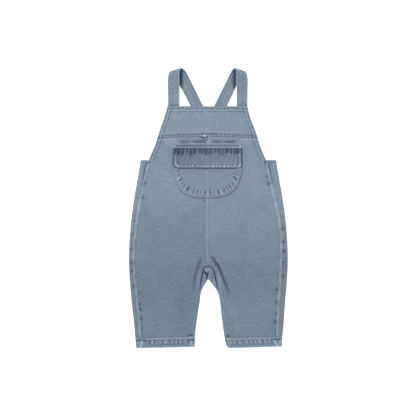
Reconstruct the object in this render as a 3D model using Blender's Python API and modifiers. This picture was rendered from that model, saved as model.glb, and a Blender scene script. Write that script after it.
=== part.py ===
"""Infant's denim dungarees, laid flat on a surface with the front facing up.

Every size below is in millimetres. Across the garment, x is measured from its centre line, and
left and right are as seen from above with the straps at the top. Up the garment, height is
measured from the leg hems. z is measured from the surface that the garment lies on.
"""
import math
from collections import namedtuple

import bmesh
import bpy
from mathutils import Vector

MM = 0.001

# Cloth and making
CLOTH = 1.2
STRAP_CLOTH = 1.6
SEAM_GAP = 0.3
LAY_GAP = 0.35
HEM_RAISE = 0.6
FOLD_RADIUS = 2.6
HEM_STEP = 1.3

# Heights of the main lines above the leg hems
FORK = 120.3
ARCH_TOP = 142.4
BACK_TOP = 329.3
YOKE = 372.3
BIB_TOP = 423.6

# Widths of hems and seam bands
LEG_HEM = 15.6
BIB_TOP_HEM = 9.6
SIDE_HEM = 8.2
YOKE_BAND = 7.0
CENTRE_FELL = 5.8
CENTRE_FELL_RAISE = 0.4
SEAM_SWELL = (14.0, 40.0)
YOKE_BOW = 3.0

# Pocket and flap
POCKET_CENTRE = -1.4
POCKET_HALF_WIDTH = 60.3
POCKET_BOTTOM = 263.6
POCKET_MOUTH = 338.9
POCKET_SQUARENESS = 3.0
POCKET_HEM = 8.0
POCKET_RAISE = 0.35
FLAP_LEFT = -60.2
FLAP_RIGHT = 57.3
FLAP_TOP = 354.6
FLAP_BOTTOM = 315.4
FLAP_CORNER_LEFT = 8.0
FLAP_CORNER_RIGHT = 5.0
GATHERS = 20
GATHER_RAISE = 0.5

# Straps
STRAP_WIDTH = 20.4
STRAP_LEAN = 26.2
STRAP_CROSSING = 381.8
STRAP_END = 309.0

LEFT = -1
RIGHT = 1

Width = namedtuple("Width", "height left right")

# Half-width of the laid garment at its outer folds
OUTLINE = [
    Width(0, 126.4, 129.0),
    Width(16, 127.9, 129.6),
    Width(44, 130.5, 132.0),
    Width(75, 134.0, 134.0),
    Width(107, 136.8, 136.8),
    Width(139, 138.9, 138.9),
    Width(170, 139.1, 139.1),
    Width(201, 137.3, 137.3),
    Width(233, 134.2, 134.2),
    Width(264, 129.8, 129.8),
    Width(296, 124.2, 124.2),
    Width(329, 118.6, 118.6),
]

# Front's outer edge: the side seam, then the armhole, then the bib's side
FRONT_EDGE = [
    Width(0, 118.3, 120.7),
    Width(16, 118.5, 120.7),
    Width(44, 121.0, 121.0),
    Width(75, 124.0, 122.5),
    Width(107, 127.3, 124.7),
    Width(139, 130.8, 126.6),
    Width(170, 130.7, 127.7),
    Width(201, 128.4, 127.2),
    Width(233, 123.9, 122.2),
    Width(264, 118.6, 114.9),
    Width(298, 112.6, 108.2),
    Width(318, 106.0, 103.4),
    Width(329, 104.1, 100.9),
    Width(343, 98.6, 94.9),
    Width(354, 93.9, 90.6),
    Width(373, 87.9, 84.9),
    Width(396, 80.2, 76.4),
    Width(412, 75.0, 71.1),
    Width(424, 71.4, 68.2),
]

# Inner fold of each leg, up to the fork
INNER_EDGE = [
    Width(0, 24.3, 31.0),
    Width(12, 23.4, 29.2),
    Width(23, 23.2, 27.6),
    Width(44, 20.6, 24.6),
    Width(65, 17.8, 22.1),
    Width(80, 15.2, 20.4),
    Width(91, 14.1, 18.5),
    Width(97, 13.2, 16.5),
    Width(102, 11.5, 14.1),
    Width(107, 8.7, 10.2),
    Width(112, 5.9, 6.6),
    Width(117, 2.8, 3.0),
    Width(120.3, 0.15, 0.15),
]

# Front's inner edge: the inseam, then the arch over the crotch
FRONT_INNER = [
    Width(0, 27.9, 34.6),
    Width(12, 27.0, 32.8),
    Width(23, 26.5, 30.9),
    Width(44, 23.9, 27.9),
    Width(65, 21.1, 25.4),
    Width(80, 18.6, 23.7),
    Width(91, 17.5, 21.8),
    Width(97, 16.6, 19.8),
    Width(102, 15.1, 17.9),
    Width(107, 13.9, 15.9),
    Width(112, 13.1, 14.8),
    Width(120, 12.0, 12.9),
    Width(127, 10.6, 11.4),
    Width(133, 9.2, 10.2),
    Width(137, 8.6, 8.6),
    Width(139.5, 7.8, 6.8),
    Width(141.2, 6.2, 5.2),
    Width(142.1, 4.4, 3.0),
    Width(142.4, 0.0, 0.0),
]

Line = namedtuple("Line", "height x")

# The centre front seam wanders a little to the left as the garment lies
CENTRE_SEAM = [
    Line(142.4, 0.0),
    Line(156, -1.0),
    Line(168, -3.0),
    Line(260, -3.2),
    Line(320, -2.0),
    Line(373, -0.6),
]

Lay = namedtuple("Lay", "height inner crown outer")

# How high the front's face lies: at its inner edge or centre, in mid panel, at its outer edge
FRONT_LAY = [
    Lay(0, 4.6, 0.5, 4.8),
    Lay(60, 4.8, 0.8, 5.0),
    Lay(110, 5.0, 0.8, 5.2),
    Lay(145, 5.2, 0.6, 5.2),
    Lay(200, 5.4, 0.4, 5.2),
    Lay(260, 5.6, 0.2, 5.2),
    Lay(329, 5.6, 0.0, 5.1),
    Lay(350, 5.5, 0.0, 4.4),
    Lay(373, 5.4, 0.0, 3.3),
    Lay(398, 5.3, 0.0, 2.9),
    Lay(407, 5.1, 0.0, 3.0),
    Lay(414, 4.3, 0.0, 3.2),
    Lay(424, 3.3, 0.0, 3.3),
]
PLATEAU = 0.35

Crease = namedtuple("Crease", "from_x from_height to_x to_height half_width raise_by")

# Soft troughs (negative) and ridges (positive) of the lower front
CREASES = [
    Crease(-11, 158, -23, 118, 5.0, -0.9),
    Crease(-22, 130, -25.5, 92, 5.0, -0.6),
    Crease(7, 160, 24, 126, 5.0, -1.1),
    Crease(21, 137, 39, 88, 6.0, -1.1),
    Crease(27, 90, 52, 46, 9.0, 0.7),
    Crease(52, 54, 53, 18, 9.0, 0.6),
    Crease(-47, 90, -45, 44, 8.0, -0.5),
    Crease(93, 272, 105, 228, 6.0, -0.6),
    Crease(-104, 262, -112, 214, 6.0, -0.4),
]

Section = namedtuple("Section", "outer_x outer_height outer_z inner_x inner_height inner_z")

# The front run of a strap and its turn at the top, by the two edges of its outer face
STRAP_TURN = [
    Section(69.7, 415.6, 1.60, 50.0, 415.6, 1.60),
    Section(69.7, 424.6, 1.60, 50.0, 424.6, 1.60),
    Section(69.7, 438.0, 2.50, 50.0, 438.0, 2.70),
    Section(69.8, 452.0, 4.60, 50.1, 453.0, 5.40),
    Section(70.0, 465.0, 6.90, 50.2, 468.0, 8.60),
    Section(69.3, 475.5, 8.40, 50.1, 480.0, 10.8),
    Section(67.3, 482.0, 7.60, 49.2, 487.5, 10.2),
    Section(64.4, 485.2, 4.80, 47.2, 490.4, 7.00),
    Section(61.8, 483.2, 1.70, 44.0, 489.2, 3.00),
    Section(59.0, 477.9, 0.20, 40.3, 485.8, 0.60),
]

Lift = namedtuple("Lift", "height z")

# How high each strap's underside lies along its straight run behind the front
UPPER_STRAP_LIFT = [
    Lift(475, 0),
    Lift(421, 0),
    Lift(403, 1.9),
    Lift(346, 1.9),
    Lift(336, 1.5),
    Lift(300, 1.5),
]
LOWER_STRAP_LIFT = [
    Lift(475, 0),
    Lift(351, 0),
    Lift(336, 1.5),
    Lift(300, 1.5),
]


def table_value(table, column, height):
    """Reads a table's column at a height, on a smooth curve through its rows."""
    rows = sorted(table, key=lambda row: row.height)
    if height <= rows[0].height:
        return getattr(rows[0], column)
    if height >= rows[-1].height:
        return getattr(rows[-1], column)
    index = max(i for i, row in enumerate(rows[:-1]) if row.height <= height)

    def slope(i):
        low, high = max(i - 1, 0), min(i + 1, len(rows) - 1)
        rise = getattr(rows[high], column) - getattr(rows[low], column)
        return rise / (rows[high].height - rows[low].height)

    span = rows[index + 1].height - rows[index].height
    t = (height - rows[index].height) / span
    start, end = getattr(rows[index], column), getattr(rows[index + 1], column)
    return (
        start * (2 * t**3 - 3 * t**2 + 1)
        + end * (3 * t**2 - 2 * t**3)
        + slope(index) * span * (t**3 - 2 * t**2 + t)
        + slope(index + 1) * span * (t**3 - t**2)
    )


def side_value(table, side, height):
    return table_value(table, "left" if side == LEFT else "right", height)


def smooth_step(value, low, high):
    t = min(max((value - low) / (high - low), 0.0), 1.0)
    return t * t * (3 - 2 * t)


def band(distance, width):
    """1 within a turned hem of this width from the edge, falling to 0 just past it."""
    return 1.0 - smooth_step(distance, width - HEM_STEP / 2, width + HEM_STEP / 2)


def front_edge(side, height):
    return side_value(FRONT_EDGE, side, height)


def centre_seam(height):
    return table_value(CENTRE_SEAM, "x", height)


def front_inner(side, height):
    if height >= ARCH_TOP:
        return side * centre_seam(height)
    return side_value(FRONT_INNER, side, height)


def top_inner_limit(side, height):
    """Where the upper layer begins beside the inner fold, or the centre line above the fork."""
    if height >= FORK:
        return 0.0
    reach = side_value(INNER_EDGE, side, height) + FOLD_RADIUS
    return reach * smooth_step(FORK - height, 0.0, 5.0) if height > FORK - 5.0 else reach


def crease_height(x, height):
    total = 0.0
    for crease in CREASES:
        start = Vector((crease.from_x, crease.from_height))
        run = Vector((crease.to_x, crease.to_height)) - start
        offset = Vector((x, height)) - start
        along = offset.dot(run) / run.length_squared
        if 0.0 < along < 1.0:
            across = (offset - run * along).length / crease.half_width
            total += crease.raise_by * math.exp(-(across**2)) * math.sin(math.pi * along)
    return total


def lay_height(x, height):
    """Height of the front's outer face above the surface, without its hems."""
    side = LEFT if x < 0 else RIGHT
    inner, outer = top_inner_limit(side, height), front_edge(side, height)
    u = min(max((abs(x) - inner) / (outer - inner), 0.0), 1.0)
    inner_z, crown, outer_z = (table_value(FRONT_LAY, c, height) for c in ("inner", "crown", "outer"))
    shoulder = smooth_step(u, PLATEAU, 1.0)
    return inner_z + (outer_z - inner_z) * shoulder + crown * 4 * u * (1 - u) + crease_height(x, height)


def yoke_line(x):
    return YOKE + YOKE_BOW * (1 - (x / 88.0) ** 2)


def hem_height(x, height):
    """Extra height where the front's cloth is turned or felled double."""
    side = LEFT if x < 0 else RIGHT
    leg_hem = band(height, LEG_HEM)
    side_hem = band(front_edge(side, height) - abs(x), SIDE_HEM) * smooth_step(height, 325.0, 333.0)
    top_hem = band(BIB_TOP - height, BIB_TOP_HEM)
    under_yoke = band(yoke_line(x) - height, YOKE_BAND) if height < yoke_line(x) else 0.0
    return HEM_RAISE * max(leg_hem, side_hem, top_hem, under_yoke)


def centre_fell_height(x, height):
    """The felled allowance beside the centre front seam, on its left."""
    from_seam = centre_seam(height) - x
    if from_seam < 0:
        return 0.0
    return CENTRE_FELL_RAISE * band(from_seam, CENTRE_FELL) * smooth_step(height, 148.0, 156.0)


def front_height(x, height):
    return lay_height(x, height) + max(hem_height(x, height), centre_fell_height(x, height))


def bridged_height(x, height):
    """The front's face as a patch feels it, which bridges the felled seam in a low swell."""
    from_fell = abs(centre_seam(height) - CENTRE_FELL / 2 - x)
    swell = CENTRE_FELL_RAISE * (1 - smooth_step(from_fell, *SEAM_SWELL))
    return lay_height(x, height) + max(hem_height(x, height), swell)


def hem_rise(side, x, height):
    """The leg ends run slightly off level, and the right one is rounded at its inner corner."""
    fade = 1.0 - smooth_step(height, 0.0, 60.0)
    inner, outer = side_value(INNER_EDGE, side, 0), side_value(OUTLINE, side, 0)
    across = min(max((x - inner) / (outer - inner), 0.0), 1.0)
    slope = 2.3 * (1 - across) if side == LEFT else 3.0 * across
    corner = 5.0 * max(0.0, 1.0 - (x - inner) / 6.0) ** 2 if side == RIGHT else 0.0
    corner *= 1.0 - smooth_step(height, 0.0, 12.0)
    return slope * fade + corner


def srgb(red, green, blue):
    """A colour read on a screen, 0 to 255, as the linear values that a material takes."""

    def linear(value):
        value /= 255.0
        return value / 12.92 if value <= 0.04045 else ((value + 0.055) / 1.055) ** 2.4

    return (linear(red), linear(green), linear(blue), 1.0)


BODY_DENIM = srgb(121, 143, 159)
BIB_DENIM = srgb(135, 155, 171)
POCKET_DENIM = srgb(126, 147, 163)
FLAP_DENIM = srgb(113, 134, 151)
BACK_DENIM = srgb(115, 132, 149)
STRAP_DENIM = srgb(132, 149, 164)


def denim(name, colour):
    material = bpy.data.materials.new(name)
    material.use_nodes = True
    shader = material.node_tree.nodes["Principled BSDF"]
    shader.inputs["Base Color"].default_value = colour
    shader.inputs["Roughness"].default_value = 0.9
    shader.inputs["Metallic"].default_value = 0.0
    material.diffuse_color = colour
    return material


def cloth_sheet(name, rows, columns, place, wall, colour, flip=False, left_out=None):
    """An open grid whose points are set by place(row, column), given a wall inwards.

    left_out(row, column) names the grid's cells that have no cloth.
    """
    shape = bmesh.new()
    bmesh.ops.create_grid(shape, x_segments=columns - 1, y_segments=rows - 1, size=1.0)
    cell = {}
    for vertex in shape.verts:
        column = round((vertex.co.x + 1) / 2 * (columns - 1))
        row = round((vertex.co.y + 1) / 2 * (rows - 1))
        cell[vertex] = (row, column)
    if left_out:
        gone = []
        for face in shape.faces:
            row = min(cell[v][0] for v in face.verts)
            column = min(cell[v][1] for v in face.verts)
            if left_out(row, column):
                gone.append(face)
        bmesh.ops.delete(shape, geom=gone, context="FACES")
    for vertex in shape.verts:
        x, height, z = place(*cell[vertex])
        vertex.co = Vector((x, height, z)) * MM
    bmesh.ops.remove_doubles(shape, verts=shape.verts, dist=0.00001)
    if flip:
        bmesh.ops.reverse_faces(shape, faces=shape.faces)
    mesh = bpy.data.meshes.new(name)
    shape.to_mesh(mesh)
    shape.free()
    mesh.materials.append(denim(name + "_denim", colour))
    mesh.shade_smooth()
    mesh.set_sharp_from_angle(angle=math.radians(40))
    piece = bpy.data.objects.new(name, mesh)
    garment.objects.link(piece)
    solid = piece.modifiers.new("Wall", "SOLIDIFY")
    solid.thickness = wall * MM
    solid.offset = -1.0
    solid.use_even_offset = True
    solid.use_quality_normals = True
    return piece


def spread(inner, outer, inner_band, outer_band, middle):
    """Positions from inner to outer, with a step at each band and equal parts between."""
    low, high = inner + inner_band + HEM_STEP / 2, outer - outer_band - HEM_STEP / 2
    between = [low + (high - low) * i / middle for i in range(middle + 1)]
    return [inner, low - HEM_STEP] + between + [high + HEM_STEP, outer]


LEG_ROWS = [0, LEG_HEM - HEM_STEP / 2, LEG_HEM + HEM_STEP / 2, 38, 60, 80, 94, 102, 108, 113, 117, FORK]
CROTCH_ROWS = [124.6, 130, 134.5, 138.5, 140.8]
BODY_ROWS = [155, 172, 190, 210, 230, 250, 268, 286, 304, 318, BACK_TOP]
FRONT_MIDDLE = 7


def front_panel(side, name):
    """Lower front, from the leg hem to the yoke seam and from the inseam to the side."""
    top = YOKE - SEAM_GAP / 2
    upper_rows = [337, 346, 356, top - YOKE_BAND - HEM_STEP / 2, top - YOKE_BAND + HEM_STEP / 2, top]
    rows = LEG_ROWS + CROTCH_ROWS + [ARCH_TOP - SEAM_GAP, ARCH_TOP] + BODY_ROWS + upper_rows

    def place(row, column):
        height = rows[row]
        inner = front_inner(side, height) + SEAM_GAP / 2
        outer = front_edge(side, height) - (SEAM_GAP / 2 if height <= BACK_TOP else 0.0)
        x = spread(inner, outer, CENTRE_FELL, SIDE_HEM, FRONT_MIDDLE)[column]
        bow = YOKE_BOW * (1 - (x / 88.0) ** 2) * smooth_step(height, 346.0, top - YOKE_BAND - 1)
        laid = height + bow + hem_rise(side, x, height)
        relief_at = height + bow
        return side * x, laid, front_height(side * x, relief_at)

    return cloth_sheet(
        name, len(rows), FRONT_MIDDLE + 5, place, CLOTH, BODY_DENIM, flip=(side == LEFT)
    )


OUTER_FOLD_STEPS = 6
INNER_FOLD_STEPS = 3
BOTTOM_STEPS = 6


def back_panel(side, name):
    """Back, from its side seam on the front round the outer fold, under, and round the leg."""
    arch_end = ARCH_TOP - 2 * SEAM_GAP
    rows = LEG_ROWS + CROTCH_ROWS + [arch_end] + BODY_ROWS
    stations = [("top_outer", 0.0), ("top_outer", 0.5)]
    stations += [("outer_fold", i / OUTER_FOLD_STEPS) for i in range(OUTER_FOLD_STEPS + 1)]
    stations += [("bottom", i / BOTTOM_STEPS) for i in range(1, BOTTOM_STEPS)]
    stations += [("fold_low", i / INNER_FOLD_STEPS) for i in range(INNER_FOLD_STEPS + 1)]
    stations += [("fold_high", i / INNER_FOLD_STEPS) for i in range(INNER_FOLD_STEPS + 1)]
    stations += [("top_inner", 0.5), ("top_inner", 1.0)]
    zones = [zone for zone, part in stations]
    split = zones.index("fold_high")
    fork_row = rows.index(FORK)
    arch_row = rows.index(arch_end)

    def left_out(row, column):
        if column >= split:
            return row >= arch_row or (row > fork_row and zones[column + 1] == "fold_high")
        if column == split - 1:
            return True
        return row > fork_row and zones[column] == "fold_low"

    def place(row, column):
        height = rows[row]
        zone, part = stations[column]
        seam = front_edge(side, height) + SEAM_GAP / 2
        outer = side_value(OUTLINE, side, height)
        open_leg = height <= FORK
        inner = side_value(INNER_EDGE, side, height) if open_leg else SEAM_GAP / 2
        radius = FOLD_RADIUS if open_leg else 0.0
        hem = HEM_RAISE * band(height, LEG_HEM)
        outer_top = table_value(FRONT_LAY, "outer", height) + hem
        inner_top = lay_height(side * (inner + radius), height) + hem
        if zone == "top_outer":
            x = seam + (outer - FOLD_RADIUS - seam) * part
            z = lay_height(side * x, height) + hem
        elif zone == "outer_fold":
            angle = math.pi * part
            x = outer - FOLD_RADIUS + FOLD_RADIUS * math.sin(angle)
            z = outer_top * (1 + math.cos(angle)) / 2
        elif zone == "bottom":
            x = outer - FOLD_RADIUS + (inner + radius - outer + FOLD_RADIUS) * part
            z = 0.0
        elif zone == "fold_low":
            angle = math.pi / 2 * part
            x = inner + radius * (1 - math.sin(angle))
            z = inner_top * (1 - math.cos(angle)) / 2 if open_leg else 0.0
        elif zone == "fold_high":
            angle = math.pi / 2 * (1 + part)
            x = inner + radius * (1 - math.sin(angle))
            z = inner_top * (1 - math.cos(angle)) / 2 if open_leg else inner_top
        else:
            edge = front_inner(side, min(height, arch_end) + SEAM_GAP) - SEAM_GAP / 2
            x = inner + radius + (edge - inner - radius) * part
            z = lay_height(side * x, height) + hem
        return side * x, height + hem_rise(side, x, height), z

    return cloth_sheet(
        name, len(rows), len(stations), place, CLOTH, BACK_DENIM, flip=(side == LEFT), left_out=left_out
    )


def bib_panel():
    """Upper front, with turned hems at its top and its two slanted sides."""
    bottom = YOKE + SEAM_GAP / 2
    hem_line = BIB_TOP - BIB_TOP_HEM
    rows = [bottom, 379, 388, 397, 405, hem_line - HEM_STEP / 2, hem_line + HEM_STEP / 2, BIB_TOP]
    middle = 12

    def place(row, column):
        height = rows[row]
        left, right = -front_edge(LEFT, height), front_edge(RIGHT, height)
        x = spread(left, right, SIDE_HEM, SIDE_HEM, middle)[column]
        bow = YOKE_BOW * (1 - (x / 88.0) ** 2) * (1 - smooth_step(height, bottom + 2, 405.0))
        side_hem = band(min(x - left, right - x), SIDE_HEM)
        top_hem = band(BIB_TOP - height, BIB_TOP_HEM)
        return x, height + bow, lay_height(x, height) + HEM_RAISE * max(side_hem, top_hem)

    return cloth_sheet("bib", len(rows), middle + 5, place, CLOTH, BIB_DENIM)


def patch_pocket():
    """A patch laid on the front, worked as rings that run along its U-shaped edge."""
    hem_level = 1 - POCKET_HEM / POCKET_HALF_WIDTH
    levels = [0.0, 0.3, 0.6, hem_level - 0.01, hem_level + 0.01, 1.0]
    drop = POCKET_MOUTH - POCKET_BOTTOM
    power = 2 / POCKET_SQUARENESS
    columns = 31

    def place(row, column):
        level = levels[row]
        angle = math.pi * column / (columns - 1)
        reach = math.copysign(abs(math.cos(angle)) ** power, math.cos(angle))
        x = POCKET_CENTRE - POCKET_HALF_WIDTH * level * reach
        height = POCKET_MOUTH - drop * level * math.sin(angle) ** power
        hem = POCKET_RAISE * smooth_step(level, hem_level - 0.011, hem_level + 0.011)
        return x, height, bridged_height(x, height) + LAY_GAP + CLOTH + hem

    return cloth_sheet("pocket", len(levels), columns, place, CLOTH, POCKET_DENIM, flip=True)


def flap_side(height, edge, corner):
    """The flap's side edge, drawn in round its bottom corner."""
    low = max(0.0, corner - (height - FLAP_BOTTOM))
    return edge - math.copysign(corner - math.sqrt(corner**2 - low**2), edge)


def pocket_flap():
    """A flap sewn above the pocket's mouth, gathered under its top seam."""
    corner_rows = [FLAP_BOTTOM + rise for rise in (0.0, 0.4, 1.2, 2.6, 4.8, 8.0)]
    rows = corner_rows + [328.5, 334.0, 339.5, 344.0, 349.0, 352.0, FLAP_TOP]
    columns = GATHERS * 4 + 1

    def place(row, column):
        height = rows[row]
        left = flap_side(height, FLAP_LEFT, FLAP_CORNER_LEFT)
        right = flap_side(height, FLAP_RIGHT, FLAP_CORNER_RIGHT)
        part = column / (columns - 1)
        x = left + (right - left) * part
        over_pocket = (CLOTH + POCKET_RAISE + LAY_GAP) * (1 - smooth_step(height, 340.0, 350.0))
        wave = 0.5 - 0.5 * math.cos(2 * math.pi * (GATHERS * part + 0.25 * math.sin(11 * part)))
        drawn = smooth_step(height, 329.0, 343.0) * (1 - smooth_step(height, 349.0, FLAP_TOP))
        depth = GATHER_RAISE * (0.75 + 0.25 * math.sin(17 * part))
        lies_at = bridged_height(x, height) + LAY_GAP + CLOTH + over_pocket
        return x, height, lies_at + depth * wave * drawn

    return cloth_sheet("pocket_flap", len(rows), columns, place, CLOTH, FLAP_DENIM)


def section_between(sections, position):
    """A strap section at a fractional position in the list, on a smooth curve through it."""
    index = min(int(position), len(sections) - 2)
    t = position - index
    around = [sections[min(max(index + k, 0), len(sections) - 1)] for k in (-1, 0, 1, 2)]
    values = []
    for a, b, c, d in zip(*around):
        values.append(
            0.5 * (2 * b + (c - a) * t + (2 * a - 5 * b + 4 * c - d) * t**2 + (3 * b - a - 3 * c + d) * t**3)
        )
    return Section(*values)


def strap_sections(lift_table):
    """Front run, turn and straight slanted run of one strap, as sections across it."""
    lean = math.radians(STRAP_LEAN)
    along = Vector((-math.sin(lean), -math.cos(lean)))
    across = Vector((-math.cos(lean), math.sin(lean))) * STRAP_WIDTH / 2
    straight_heights = [475, 462, 445, 430, 421, 412, 403, 390, 375, 360, 351, 343.5, 336, 322, STRAP_END]
    straight = []
    for height in straight_heights:
        centre = Vector((0, STRAP_CROSSING)) + along * (STRAP_CROSSING - height) / math.cos(lean)
        outer, inner = centre - across, centre + across
        z = table_value(lift_table, "z", height)
        straight.append(Section(outer.x, outer.y, z, inner.x, inner.y, z))
    steps = 3
    turn = STRAP_TURN + straight[:1]
    turned = [section_between(turn, i / steps) for i in range((len(turn) - 1) * steps)]
    return turned + straight


def strap(side, name, lift_table, front_shift, back_shift):
    """One strap, from under the bib's top hem, over its turn, and down inside the front."""
    sections = strap_sections(lift_table)
    across_steps = 4

    def place(row, column):
        section = sections[row]
        part = column / across_steps
        x = section.outer_x + (section.inner_x - section.outer_x) * part
        height = section.outer_height + (section.inner_height - section.outer_height) * part
        z = section.outer_z + (section.inner_z - section.outer_z) * part
        shift = back_shift + (front_shift - back_shift) * smooth_step(x, 35.0, 60.0)
        return side * (x + shift), height, max(z, 0.0)

    return cloth_sheet(
        name, len(sections), across_steps + 1, place, STRAP_CLOTH, STRAP_DENIM, flip=(side == RIGHT)
    )


def garment_centre(pieces):
    """Middle of the finished garment's plan, from its evaluated pieces."""
    bpy.context.view_layer.update()
    depsgraph = bpy.context.evaluated_depsgraph_get()
    corners = []
    for piece in pieces:
        evaluated = piece.evaluated_get(depsgraph)
        corners += [evaluated.matrix_world @ Vector(corner) for corner in evaluated.bound_box]
    middle = [(min(c[i] for c in corners) + max(c[i] for c in corners)) / 2 for i in (0, 1)]
    return Vector((middle[0], middle[1], 0.0))


for old in list(bpy.data.objects):
    bpy.data.objects.remove(old, do_unlink=True)

garment = bpy.data.collections.new("denim_dungarees")
bpy.context.scene.collection.children.link(garment)

pieces = [
    front_panel(LEFT, "left_front"),
    front_panel(RIGHT, "right_front"),
    back_panel(LEFT, "left_back"),
    back_panel(RIGHT, "right_back"),
    bib_panel(),
    patch_pocket(),
    pocket_flap(),
    strap(LEFT, "left_strap", UPPER_STRAP_LIFT, 1.1, -0.5),
    strap(RIGHT, "right_strap", LOWER_STRAP_LIFT, -1.1, 0.5),
]

base = bpy.data.objects.new("garment_base", None)
garment.objects.link(base)
for piece in pieces:
    piece.parent = base
base.location = -garment_centre(pieces)
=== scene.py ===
# %% [markdown]
# Denim dungarees for an infant, laid flat
#
# This lesson dresses a finished construction model with cloth. The model comes from the frame:
# one solid for each piece that a maker cuts. Every piece below is the same cut again, as a fine
# thin shell with its hems, puckers, gathers, worn seams and stitches. The work is in real sizes,
# because denim is only convincing when its thread, hems and stitches are the size they should be.

# %% Load the frame
import math
from collections import namedtuple

import bmesh
import bpy
import numpy as np
from mathutils import Matrix, Vector


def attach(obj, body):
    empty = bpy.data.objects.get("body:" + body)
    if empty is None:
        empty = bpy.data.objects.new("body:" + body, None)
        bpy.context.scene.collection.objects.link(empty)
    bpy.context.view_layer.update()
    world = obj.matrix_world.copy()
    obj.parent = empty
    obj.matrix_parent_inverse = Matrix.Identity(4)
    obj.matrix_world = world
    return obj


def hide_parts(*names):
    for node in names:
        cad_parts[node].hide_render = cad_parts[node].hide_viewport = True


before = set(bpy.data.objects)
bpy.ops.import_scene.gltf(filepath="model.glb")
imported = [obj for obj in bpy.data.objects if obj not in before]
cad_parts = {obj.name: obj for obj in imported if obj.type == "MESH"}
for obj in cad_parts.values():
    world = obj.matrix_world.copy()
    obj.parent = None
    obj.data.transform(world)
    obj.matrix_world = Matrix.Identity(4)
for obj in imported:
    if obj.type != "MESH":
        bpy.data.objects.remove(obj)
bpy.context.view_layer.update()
print("nodes to dress:", sorted(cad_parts))

# %% [markdown]
# The pattern's sizes
#
# All sizes are in millimetres. x is measured across from the garment's centre line, height from
# the leg hems, and z from the surface underneath. A tailor's pattern is a short list of widths at
# chosen heights, joined by a fair curve, so that is how the outline is held here too.

# %% Sizes of cloth, seams and hems
MM = 0.001
LEFT, RIGHT = -1, 1
CLOTH = 1.2
STRAP_CLOTH = 1.6
SEAM_GAP = 0.3
LAY_GAP = 0.35
HEM_RAISE = 0.6
HEM_STEP = 1.3
FOLD_RADIUS = 2.6
FORK = 120.3
ARCH_TOP = 142.4
BACK_TOP = 329.3
YOKE = 372.3
YOKE_BOW = 3.0
BIB_TOP = 423.6
GARMENT_TOP = 490.4
LEG_HEM = 15.6
BIB_TOP_HEM = 9.6
SIDE_HEM = 8.2
YOKE_BAND = 7.0
CENTRE_FELL = 5.8
CENTRE_FELL_RAISE = 0.4
SEAM_SWELL = (14.0, 40.0)
print("length laid flat:", GARMENT_TOP, "mm, cloth", CLOTH, "mm thick")

# %% Widths of the laid garment
Width = namedtuple("Width", "height left right")

OUTLINE = [
    Width(0, 126.4, 129.0), Width(16, 127.9, 129.6), Width(44, 130.5, 132.0),
    Width(75, 134.0, 134.0), Width(107, 136.8, 136.8), Width(139, 138.9, 138.9),
    Width(170, 139.1, 139.1), Width(201, 137.3, 137.3), Width(233, 134.2, 134.2),
    Width(264, 129.8, 129.8), Width(296, 124.2, 124.2), Width(329, 118.6, 118.6),
]
FRONT_EDGE = [
    Width(0, 118.3, 120.7), Width(16, 118.5, 120.7), Width(44, 121.0, 121.0),
    Width(75, 124.0, 122.5), Width(107, 127.3, 124.7), Width(139, 130.8, 126.6),
    Width(170, 130.7, 127.7), Width(201, 128.4, 127.2), Width(233, 123.9, 122.2),
    Width(264, 118.6, 114.9), Width(298, 112.6, 108.2), Width(318, 106.0, 103.4),
    Width(329, 104.1, 100.9), Width(343, 98.6, 94.9), Width(354, 93.9, 90.6),
    Width(373, 87.9, 84.9), Width(396, 80.2, 76.4), Width(412, 75.0, 71.1), Width(424, 71.4, 68.2),
]
INNER_EDGE = [
    Width(0, 24.3, 31.0), Width(12, 23.4, 29.2), Width(23, 23.2, 27.6), Width(44, 20.6, 24.6),
    Width(65, 17.8, 22.1), Width(80, 15.2, 20.4), Width(91, 14.1, 18.5), Width(97, 13.2, 16.5),
    Width(102, 11.5, 14.1), Width(107, 8.7, 10.2), Width(112, 5.9, 6.6), Width(117, 2.8, 3.0),
    Width(120.3, 0.15, 0.15),
]
FRONT_INNER = [
    Width(0, 27.9, 34.6), Width(12, 27.0, 32.8), Width(23, 26.5, 30.9), Width(44, 23.9, 27.9),
    Width(65, 21.1, 25.4), Width(80, 18.6, 23.7), Width(91, 17.5, 21.8), Width(97, 16.6, 19.8),
    Width(102, 15.1, 17.9), Width(107, 13.9, 15.9), Width(112, 13.1, 14.8), Width(120, 12.0, 12.9),
    Width(127, 10.6, 11.4), Width(133, 9.2, 10.2), Width(137, 8.6, 8.6), Width(139.5, 7.8, 6.8),
    Width(141.2, 6.2, 5.2), Width(142.1, 4.4, 3.0), Width(142.4, 0.0, 0.0),
]

Line = namedtuple("Line", "height x")
CENTRE_SEAM = [
    Line(142.4, 0.0), Line(156, -1.0), Line(168, -3.0),
    Line(260, -3.2), Line(320, -2.0), Line(373, -0.6),
]
widest = max(OUTLINE, key=lambda row: row.left + row.right)
print("widest at", widest.height, "mm:", widest.left + widest.right, "mm across")

# %% How high the front lies
Lay = namedtuple("Lay", "height inner crown outer")

FRONT_LAY = [
    Lay(0, 4.6, 0.5, 4.8), Lay(60, 4.8, 0.8, 5.0), Lay(110, 5.0, 0.8, 5.2), Lay(145, 5.2, 0.6, 5.2),
    Lay(200, 5.4, 0.4, 5.2), Lay(260, 5.6, 0.2, 5.2), Lay(329, 5.6, 0.0, 5.1), Lay(350, 5.5, 0.0, 4.4),
    Lay(373, 5.4, 0.0, 3.3), Lay(398, 5.3, 0.0, 2.9), Lay(407, 5.1, 0.0, 3.0), Lay(414, 4.3, 0.0, 3.2),
    Lay(424, 3.3, 0.0, 3.3),
]
PLATEAU = 0.35

Crease = namedtuple("Crease", "from_x from_height to_x to_height half_width raise_by")

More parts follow.
